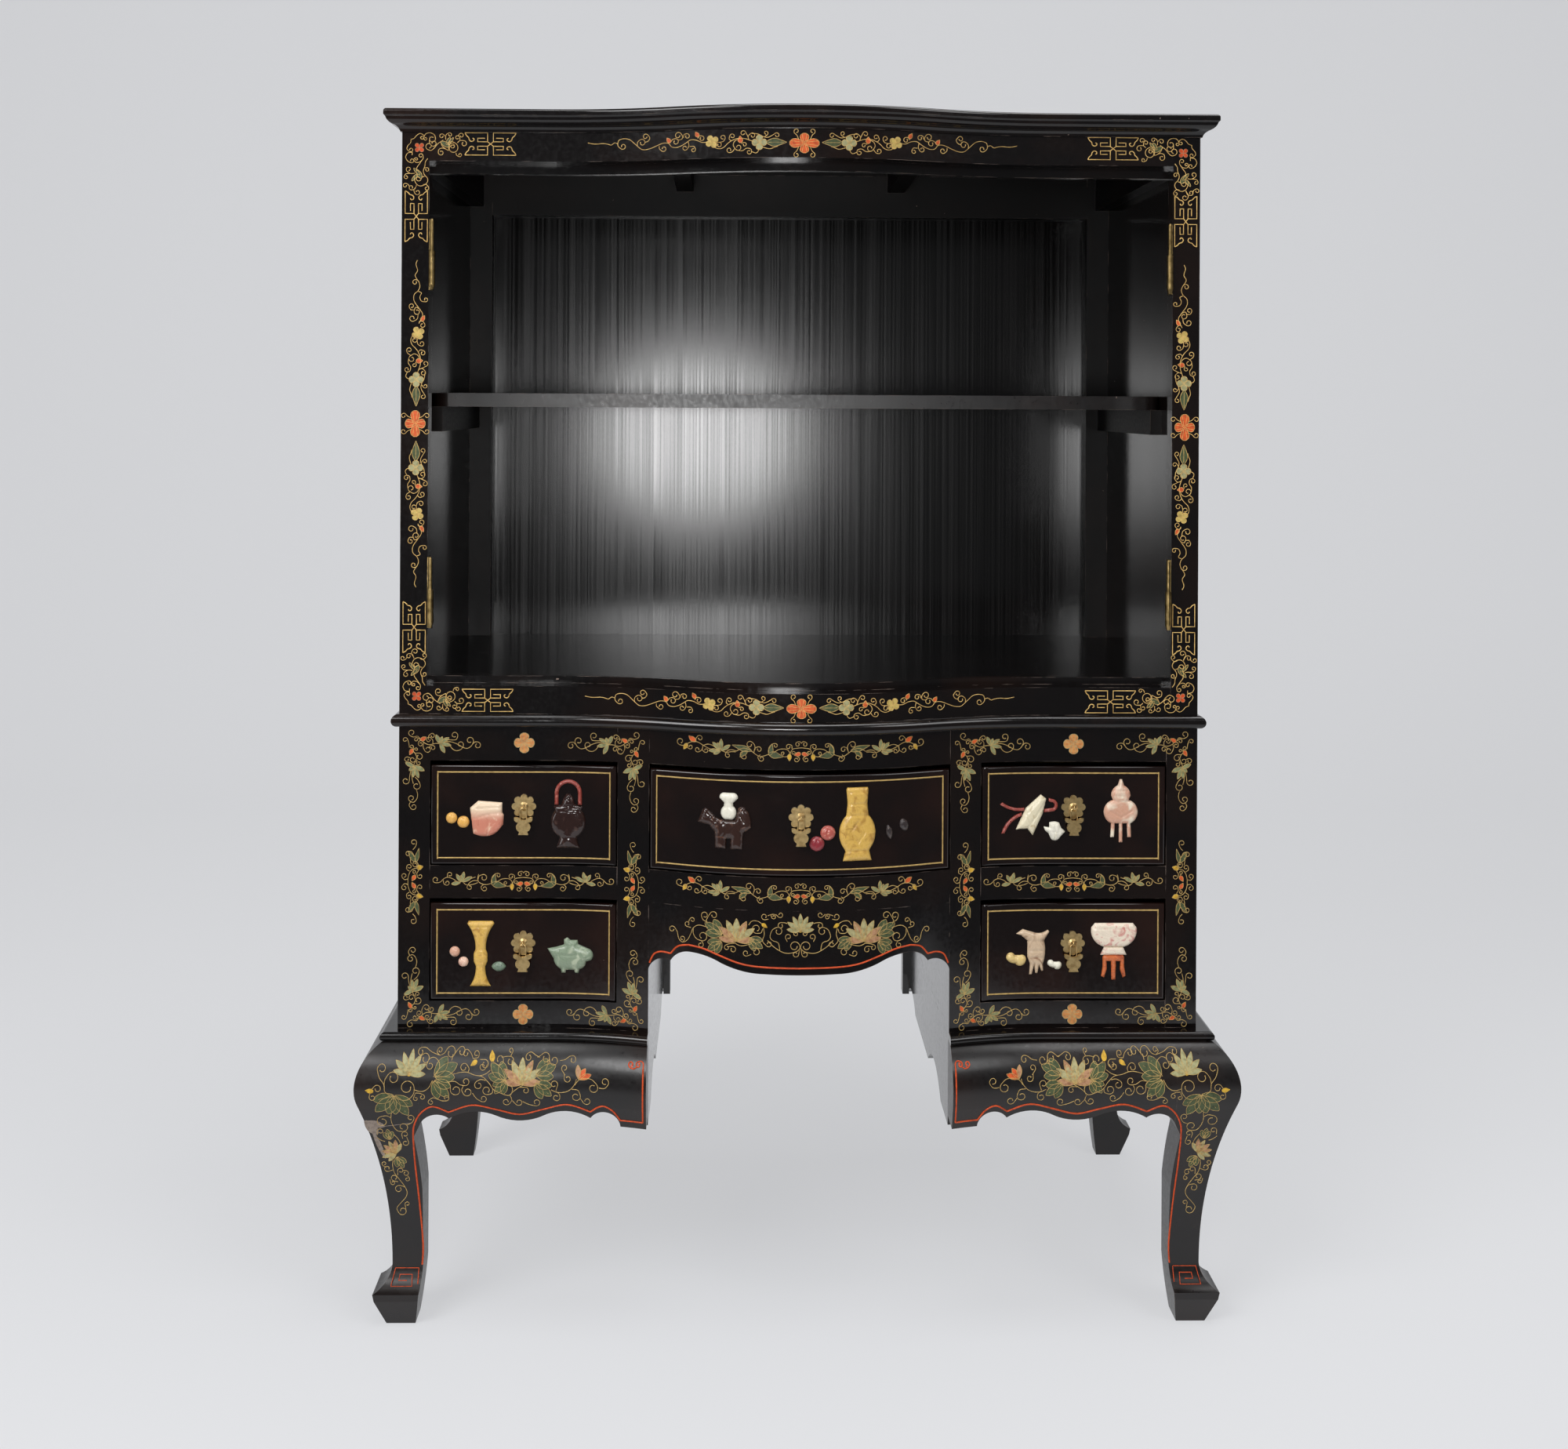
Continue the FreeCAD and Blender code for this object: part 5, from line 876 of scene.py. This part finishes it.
# Screws: one small shape set on every point, turned and spread as the point says
screwTree, given = newTree("screwHeads", [("Shape", "NodeSocketObject"), ("Material", "NodeSocketMaterial")])
shapeMesh = addNode(screwTree, "GeometryNodeObjectInfo", {"Object": given["Shape"]}).outputs["Geometry"]
laid = addNode(screwTree, "GeometryNodeInstanceOnPoints", {
    "Points": given["Geometry"], "Instance": shapeMesh,
    "Rotation": pointValue(screwTree, "turned", "FLOAT_VECTOR"),
    "Scale": pointValue(screwTree, "spread", "FLOAT_VECTOR")}).outputs[0]
endTree(screwTree, laid, given["Material"])


def newPiece(name, mesh):
    piece = bpy.data.objects.new(name, mesh)
    scene.collection.objects.link(piece)
    return piece


def growPiece(name, source, tree, values):
    piece = newPiece(name, source)
    modifier = piece.modifiers.new(tree.name, "NODES")
    modifier.node_group = tree
    for item in tree.interface.items_tree:
        if item.in_out == "INPUT" and item.name in values:
            modifier[item.identifier] = values[item.name]
    graph = bpy.context.evaluated_depsgraph_get()
    grown = bpy.data.meshes.new_from_object(piece.evaluated_get(graph), depsgraph=graph)
    piece.modifiers.remove(modifier)
    piece.data = grown
    return piece


def setOn(piece, body, slotName):
    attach(piece, body)
    return piece


def pointMesh(name, rows):
    mesh = bpy.data.meshes.new(name)
    mesh.from_pydata([row[0] for row in rows], [], [])
    for label, place in (("turned", 1), ("spread", 2)):
        attribute = mesh.attributes.new(label, "FLOAT_VECTOR", "POINT")
        attribute.data.foreach_set("vector", [value for row in rows for value in row[place]])
    return mesh


for (body, colour), strokes in lineWork.items():
    mesh = bpy.data.meshes.new("strokes")
    points, edges, widths = [], [], []
    for path, half in strokes:
        edges += [(len(points) + index, len(points) + index + 1) for index in range(len(path) - 1)]
        points += path
        widths += [half] * len(path)
    mesh.from_pydata(points, edges, [])
    mesh.attributes.new("halfWidth", "FLOAT", "POINT").data.foreach_set("value", widths)
    values = {"Sides": brush["sides"], "Material": finishes[colour]}
    setOn(growPiece(f"{body}_{colour}_lines", mesh, lineTree, values), body, "black_lacquer")
for (body, colour), (points, faces) in petalWork.items():
    mesh = bpy.data.meshes.new("petals")
    mesh.from_pydata(points, [], faces)
    film = bmesh.new()
    film.from_mesh(mesh)
    bmesh.ops.recalc_face_normals(film, faces=film.faces)
    film.to_mesh(mesh)
    film.free()
    mesh.materials.append(finishes[colour])
    setOn(newPiece(f"{body}_{colour}_petals", mesh), body, "black_lacquer")
print("painting laid on")


# Drawer fronts and cast brass: the solids' own forms with their edges worked round
rounding = {"_front": 3.0 * mm, "_pull_plate": 0.5 * mm, "_pull_drop": 1.0 * mm, "segments": 3,
            "flat": math.radians(0.5), "sharp": math.radians(35)}


def looksForward(face):
    return face.normal.y < -0.5


def roundedCopy(drawer, part):
    mesh = frame["nodes"][drawer + part].data.copy()
    work = bmesh.new()
    work.from_mesh(mesh)
    bmesh.ops.remove_doubles(work, verts=work.verts, dist=weld)
    bmesh.ops.dissolve_limit(work, angle_limit=rounding["flat"], verts=work.verts, edges=work.edges)
    sharp = [edge for edge in work.edges
             if len(edge.link_faces) == 2 and edge.calc_face_angle() > rounding["sharp"]]
    if part == "_front":  # only round its face
        sharp = [edge for edge in sharp if any(looksForward(face) for face in edge.link_faces)]
    bmesh.ops.bevel(work, geom=sharp, offset=rounding[part], segments=rounding["segments"], profile=0.5,
                    affect="EDGES", clamp_overlap=True)
    for face in work.faces:
        face.smooth = True
    mesh.materials.clear()
    work.to_mesh(mesh)
    work.free()
    holder = newPiece("holder", mesh)
    holder.modifiers.new("flatFaces", "WEIGHTED_NORMAL")  # broad faces stay flat beside their rounded edges
    graph = bpy.context.evaluated_depsgraph_get()
    worked = bpy.data.meshes.new_from_object(holder.evaluated_get(graph), depsgraph=graph)
    bpy.data.objects.remove(holder)
    return worked


# Each carving: its stone, the middle of its place from the drawer's pull in millimetres, and its kind
carvings = {
    "left_top_drawer": [
        ("honey", -75, -20, "fruit"), ("honey", -90, -15, "fruit"), ("pink", -46, -15, "block"),
        ("smoke", 55, -18, "ewer"), ("coral", 55, 17, "rope")],
    "left_bottom_drawer": [
        ("berry", -74, -24, "fruit"), ("blush", -85, -11, "fruit"), ("sand", -53, -13, "beaker"),
        ("seedJade", -30, -29, "fruit"), ("teaJade", 58, -15, "teapot")],
    "centre_drawer": [
        ("russet", -94, -16, "lion"), ("whiteJade", -88, 12, "posy"), ("plum", 20, -33, "fruit"),
        ("peach", 33, -20, "fruit"), ("sand", 69, -10, "bottle"), ("umber", 109, -21, "fruit"),
        ("umber", 128, -13, "fruit")],
    "right_top_drawer": [
        ("coral", -77, 0, "rope"), ("coral", -78, -20, "rope"), ("coral", -27, 2, "rope"),
        ("ivory", -53, -10, "clappers"), ("whiteJade", -24, -28, "lotus"), ("blush", 60, -4, "censer")],
    "right_bottom_drawer": [
        ("tan", -72, -18, "nut"), ("whiteJade", -24, -26, "nut"), ("brownJade", -50, -11, "cup"),
        ("veined", 52, 11, "bowl"), ("veined", 51, -10, "collar"), ("ember", 51, -30, "stand")],
}


# Grooves of each kind, in shares of the carving's width and height from its middle
def rings(*levels, left=-0.5, right=0.5):  # straight across
    return [[(left, level), (right, level)] for level in levels]


grooves = {
    "fruit": [[(0.18, 0.45), (-0.08, 0.1), (-0.1, -0.25)]],
    "block": [[(-0.5, -0.02), (0.06, 0.14), (0.5, 0.2)], [(0.06, 0.14), (0.02, -0.5)],
              [(-0.3, 0.3), (0.4, 0.34)]],
    "ewer": rings(-0.3, 0.2, 0.29) + rings(0.42, left=-0.2, right=0.2),
    "rope": [[(-0.5 + 0.11 * i, -0.6), (-0.3 + 0.11 * i, 0.6)] for i in range(8)],
    "beaker": rings(-0.2, -0.12, 0.0, 0.07, 0.42) + [[(0.0, 0.08), (0.0, 0.4)], [(0.0, -0.48), (0.0, -0.21)]],
    "teapot": [[(-0.31, 0.22), (-0.06, 0.29), (0.2, 0.29)], [(-0.3, 0.04), (0.36, 0.04)],
               [(-0.34, -0.1), (-0.22, 0.16)], [(0.32, -0.1), (0.4, 0.0), (0.36, 0.12)]],
    "lion": [[(-0.2, 0.3), (-0.13, 0.1), (-0.2, -0.1)], [(0.1, -0.3), (0.14, 0.0), (0.28, 0.08)],
             [(-0.42, 0.26), (-0.3, 0.2), (-0.22, 0.26)], [(0.28, 0.42), (0.34, 0.2), (0.42, 0.08)],
             [(0.0, 0.18), (0.02, -0.1), (-0.06, -0.24)]],
    "posy": rings(0.0, 0.1) + [[(-0.16, 0.14), (-0.2, 0.5)], [(0.14, 0.14), (0.18, 0.5)]],
    "bottle": rings(-0.36, 0.12, 0.28, 0.44) + [
        [(-0.2, -0.1), (0.0, 0.04), (0.2, -0.1), (0.0, -0.26), (-0.2, -0.1)]],
    "clappers": [[(-0.4, -0.2), (0.3, 0.44)], [(-0.1, -0.3), (0.44, 0.3)], [(-0.2, 0.1), (0.1, -0.4)]],
    "lotus": [[(0.0, -0.4), (0.0, 0.36)], [(-0.14, -0.36), (-0.24, 0.2)], [(0.14, -0.36), (0.22, 0.2)],
              [(-0.3, 0.0), (0.3, -0.04)]],
    "censer": rings(-0.2, 0.16, 0.24) + rings(0.32, left=-0.3, right=0.3) + [
        [(-0.3, 0.0), (0.0, -0.1), (0.3, 0.0)]],
    "nut": [[(-0.02, 0.2), (0.02, -0.1), (0.0, -0.5)]],
    "cup": rings(0.24, 0.04, -0.12, left=-0.16, right=0.34),
    "bowl": rings(0.3),
    "collar": rings(0.0),
    "stand": rings(0.34, 0.14),
}
# How a carving swells from its outline to its middle, and how deep its grooves are, in millimetres
dome = {"grid": 1.5, "free": 0.9, "rim": 0.9, "rise": 4.0, "shoulder": 7.0, "deep": 1.1, "wide": 0.75,
        "fade": 4, "step": 0.5, "merge": 0.01}
trianglesInside = 2  # what delaunay_2d_cdt gives: those within the outline, apart from its holes
roundShoulder = {"ewer": 15.0, "lion": 9.0, "teapot": 13.0}  # the rounder vessels swell further in


def densePath(a, b, stepLength):
    count = max(1, math.ceil(math.dist(a, b) / stepLength))
    return [tuple(p + (q - p) * index / count for p, q in zip(a, b)) for index in range(count + 1)]


def nearTree(points):
    tree = KDTree(len(points))
    for index, (u, v) in enumerate(points):
        tree.insert((u, v, 0.0), index)
    tree.balance()
    return tree


def islandsOf(work):
    left = set(work.faces)
    while left:
        island, border = [], [left.pop()]
        while border:
            face = border.pop()
            island.append(face)
            for edge in face.edges:
                for other in edge.link_faces:
                    if other in left:
                        left.remove(other)
                        border.append(other)
        yield island


def outlineOf(island):  # the edges round the front of one stone, in millimetres across and up
    fronts = {face for face in island if looksForward(face)}
    rim = [edge for face in fronts for edge in face.edges
           if sum(other in fronts for other in edge.link_faces) == 1]
    return [[(vert.co.x / mm, vert.co.z / mm) for vert in edge.verts] for edge in rim]


def carve(work, outline, kind, materialIndex):
    corners, links, rimPoints = [], [], []
    for a, b in outline:
        path = densePath(a, b, dome["grid"])
        links += [(len(corners) + index, len(corners) + index + 1) for index in range(len(path) - 1)]
        corners += path
        rimPoints += densePath(a, b, dome["step"])
    low = [min(point[axis] for point in corners) for axis in (0, 1)]
    high = [max(point[axis] for point in corners) for axis in (0, 1)]
    middle = [(low[axis] + high[axis]) / 2 for axis in (0, 1)]
    size = [high[axis] - low[axis] for axis in (0, 1)]
    cutPoints = []
    for cut in grooves[kind]:
        placed = [(middle[0] + u * size[0], middle[1] + v * size[1]) for u, v in cut]
        for a, b in zip(placed, placed[1:]):
            cutPoints += densePath(a, b, dome["step"])
    rimTree, cutTree = nearTree(rimPoints), nearTree(cutPoints)
    shoulder = roundShoulder.get(kind, dome["shoulder"])
    rise = dome["rise"] * math.sqrt(shoulder / dome["shoulder"])
    for row in range(int(size[1] / dome["grid"])):
        for column in range(int(size[0] / dome["grid"]) + 1):
            u = low[0] + (column + 0.5 * (row % 2)) * dome["grid"]
            v = low[1] + (row + 0.5) * dome["grid"]
            if rimTree.find((u, v, 0.0))[2] > dome["free"]:
                corners.append((u, v))
    spots, _, faces, *_ = delaunay_2d_cdt([Vector(point) for point in corners], links, [], trianglesInside,
                                          dome["merge"])
    top, back = [], []
    for u, v in spots:
        inward = min(1.0, rimTree.find((u, v, 0.0))[2] / shoulder)
        cutShare = math.exp(-(cutTree.find((u, v, 0.0))[2] / dome["wide"]) ** 2)
        height = (dome["rim"] + rise * math.sqrt(1 - (1 - inward) ** 2)
                  - dome["deep"] * cutShare * min(1.0, dome["fade"] * inward))
        point, normal = caseFace(u, v)
        top.append(work.verts.new((point + normal * height) * mm))
        back.append(work.verts.new(point * mm))
    sides = {}  # in the order of the faces
    made = []
    for face in faces:
        made.append(work.faces.new([top[index] for index in face]))
        made.append(work.faces.new([back[index] for index in reversed(face)]))
        sides.update(dict.fromkeys(zip(face, face[1:] + face[:1])))
    for a, b in sides:
        if (b, a) not in sides:
            made.append(work.faces.new((top[b], top[a], back[a], back[b])))
    for face in made:
        face.smooth = True
        face.material_index = materialIndex


for drawer in drawers:
    node = drawer + "_stones"
    plateLow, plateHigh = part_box(drawer + "_pull_plate")
    pull = (plateLow + plateHigh) / 2 / mm
    source, work = bmesh.new(), bmesh.new()
    source.from_mesh(frame["nodes"][node].data)
    bmesh.ops.remove_doubles(source, verts=source.verts, dist=weld)
    order = sorted({row[0] for row in carvings[drawer]})
    for island in islandsOf(source):
        outline = outlineOf(island)
        across = [point[0] for edge in outline for point in edge]
        up = [point[1] for edge in outline for point in edge]
        place = ((min(across) + max(across)) / 2 - pull.x, (min(up) + max(up)) / 2 - pull.z)
        stone, _, _, kind = min(carvings[drawer], key=lambda row: math.dist(row[1:3], place))
        carve(work, outline, kind, order.index(stone))
    bmesh.ops.recalc_face_normals(work, faces=work.faces)
    mesh = bpy.data.meshes.new(drawer + "_carvings")
    work.to_mesh(mesh)
    source.free()
    work.free()
    for name in order:
        mesh.materials.append(finishes[name])
    carved = setOn(newPiece(drawer + "_carvings", mesh), drawer, "hardstone")
    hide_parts(node)
    for part, body, finish, slotName in (
            ("_front", drawer, "front", "black_lacquer"), ("_pull_plate", drawer, "brass", "brass"),
            ("_pull_drop", drawer.replace("_drawer", "_pull"), "brass", "brass")):
        worked = newPiece(drawer + part + "_worked", roundedCopy(drawer, part))
        worked.data.materials.append(finishes[finish])
        setOn(worked, body, slotName)
        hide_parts(drawer + part)
print("carvings, fronts and pulls done")

# Three round-headed screws in each hinge leaf
screw = {"radius": 2.8 * mm, "high": 1.1 * mm, "levels": (12 * mm, 44 * mm, 76 * mm), "fromBack": 7.0 * mm,
         "leafEdge": 2 * mm, "sides": 12, "crown": 0.7}
sides = screw["sides"]
turns = [math.tau * index / sides for index in range(sides)]
mesh = bpy.data.meshes.new("screwHead")
mesh.from_pydata([(reach * math.cos(turn), reach * math.sin(turn), up)
                  for reach, up in ((1.0, 0.0), (screw["crown"], 1.0)) for turn in turns], [],
                 [(i, (i + 1) % sides, sides + (i + 1) % sides, sides + i) for i in range(sides)]
                 + [list(range(sides, 2 * sides)), list(range(sides - 1, -1, -1))])
screwHead = newPiece("screwHead", mesh)
leaves = bmesh.new()
leaves.from_mesh(frame["nodes"]["hinge_leaves"].data)
bmesh.ops.remove_doubles(leaves, verts=leaves.verts, dist=weld)
rows = []
for island in islandsOf(leaves):
    spots = [vert.co for face in island for vert in face.verts]
    low, high = ([rule(spot[axis] for spot in spots) for axis in range(3)] for rule in (min, max))
    inward = 1 if low[0] < 0 else -1
    leafFace = max(spot.x * inward for spot in spots if spot.y > high[1] - screw["leafEdge"]) * inward
    turned = Vector((inward, 0.0, 0.0)).to_track_quat("Z", "Y").to_euler()
    for level in screw["levels"]:
        rows.append(((leafFace, high[1] - screw["fromBack"], low[2] + level), turned,
                     (screw["radius"], screw["radius"], screw["high"])))
leaves.free()
setOn(growPiece("hinge_screws", pointMesh("screws", rows), screwTree,
                {"Shape": screwHead, "Material": finishes["brass"]}), cabinet, "brass")
bpy.data.objects.remove(screwHead)

# Floor and curved backdrop of pale paper: a little mottled, and pale to the eye
stage = {"half": 7.0, "front": -1.35, "back": 2.6, "radius": 1.4, "high": 5.0, "steps": 16, "mottle": 1 / 0.6,
         "glow": 0.66}
profile = [(stage["front"], 0.0)]
for index in range(stage["steps"] + 1):
    turn = math.pi / 2 * index / stage["steps"]
    profile.append((stage["back"] + stage["radius"] * math.sin(turn), stage["radius"] * (1 - math.cos(turn))))
profile.append((stage["back"] + stage["radius"], stage["high"]))
mesh = bpy.data.meshes.new("studio")
mesh.from_pydata([(side * stage["half"], y, z) for y, z in profile for side in (-1, 1)], [],
                 [(2 * i, 2 * i + 1, 2 * i + 3, 2 * i + 2) for i in range(len(profile) - 1)])
studio = newPiece("studio", mesh)
for face in studio.data.polygons:
    face.use_smooth = True


def raysOf(tree):  # is it the eye that looks, or a mirror or glass
    ray = addNode(tree, "ShaderNodeLightPath").outputs
    return ray["Is Camera Ray"], maths(tree, "ADD", ray["Is Glossy Ray"], ray["Is Transmission Ray"])


material, tree, place = newFinish("paperBackdrop", Roughness=0.8)
shader = tree.nodes["Principled BSDF"]
tone = mixed(tree, noise(tree, place, stage["mottle"], 2.0), linear("dcdddf"), linear("d2d3d6"))
tree.links.new(tone, shader.inputs["Base Color"])
glow = addNode(tree, "ShaderNodeEmission", {"Color": linear("e6e7ea")}).outputs[0]
paler = maths(tree, "MULTIPLY", maths(tree, "ADD", *raysOf(tree), True), stage["glow"])
both = addNode(tree, "ShaderNodeMixShader", {0: paler, 1: shader.outputs[0], 2: glow}).outputs[0]
tree.links.new(both, tree.nodes["Material Output"].inputs["Surface"])
studio.data.materials.append(material)

# Soft studio light: a wide panel over the left shoulder, a fill at the right, one overhead, one near the lens
# that the back of the open case reflects, a narrow one at the far left, and a pale room
lights = {
    "key": {"at": (-2.2, -2.6, 3.2), "size": (2.4, 2.0), "power": 96.0},
    "fill": {"at": (2.6, -2.4, 3.3), "size": (2.2, 1.8), "power": 42.0},
    "front": {"at": (-0.2, -2.75, 1.03), "size": (0.64, 0.5), "power": 17.0},
    "side": {"at": (-2.5, -1.7, 0.8), "size": (0.6, 1.3), "power": 6.0},
    "top": {"at": (0.3, -0.4, 3.6), "size": (2.6, 1.6), "power": 60.0},
}
aim = Vector((0.0, 0.0, 0.8))
for name, light in lights.items():
    lamp = bpy.data.lights.new(name, "AREA")
    lamp.shape = "ELLIPSE"
    lamp.size, lamp.size_y = light["size"]
    lamp.energy = light["power"]
    holder = bpy.data.objects.new(name, lamp)
    holder.location = light["at"]
    holder.rotation_euler = (aim - Vector(light["at"])).to_track_quat("-Z", "Y").to_euler()
    scene.collection.objects.link(holder)
room = {"light": 0.12, "mirrored": 0.14, "seen": 0.8}  # lacquer mirrors a dim room, the eye sees a pale one
world = bpy.data.worlds.new("paleRoom")
world.use_nodes = True
tree = world.node_tree
eye, mirrored = raysOf(tree)
dim = ramp(tree, mirrored, 0.0, 1.0, room["light"], room["mirrored"])
strength = ramp(tree, eye, 0.0, 1.0, dim, room["seen"])
tree.nodes["Background"].inputs["Color"].default_value = linear("e4e6ea")
tree.links.new(strength, tree.nodes["Background"].inputs["Strength"])
scene.world = world

# Camera as in the photograph: level, a little left of the middle, at the height of the shelf
lens = {"at": (-0.0842, -2.4613, 1.1479), "focal": 41.18, "sensor": 36.0, "yaw": -0.931, "roll": 0.298,
        "shift": (0.0132, -0.2065)}
camera = bpy.data.cameras.new("camera")
camera.lens = lens["focal"]
camera.sensor_width = lens["sensor"]
camera.shift_x, camera.shift_y = lens["shift"]
stand = bpy.data.objects.new("camera", camera)
stand.matrix_world = (Matrix.Translation(lens["at"]) @ Matrix.Rotation(math.radians(lens["yaw"]), 4, "Z")
                      @ Matrix.Rotation(math.pi / 2, 4, "X")
                      @ Matrix.Rotation(math.radians(lens["roll"]), 4, "Z"))
scene.collection.objects.link(stand)
scene.camera = stand
scene.view_settings.view_transform = "Standard"
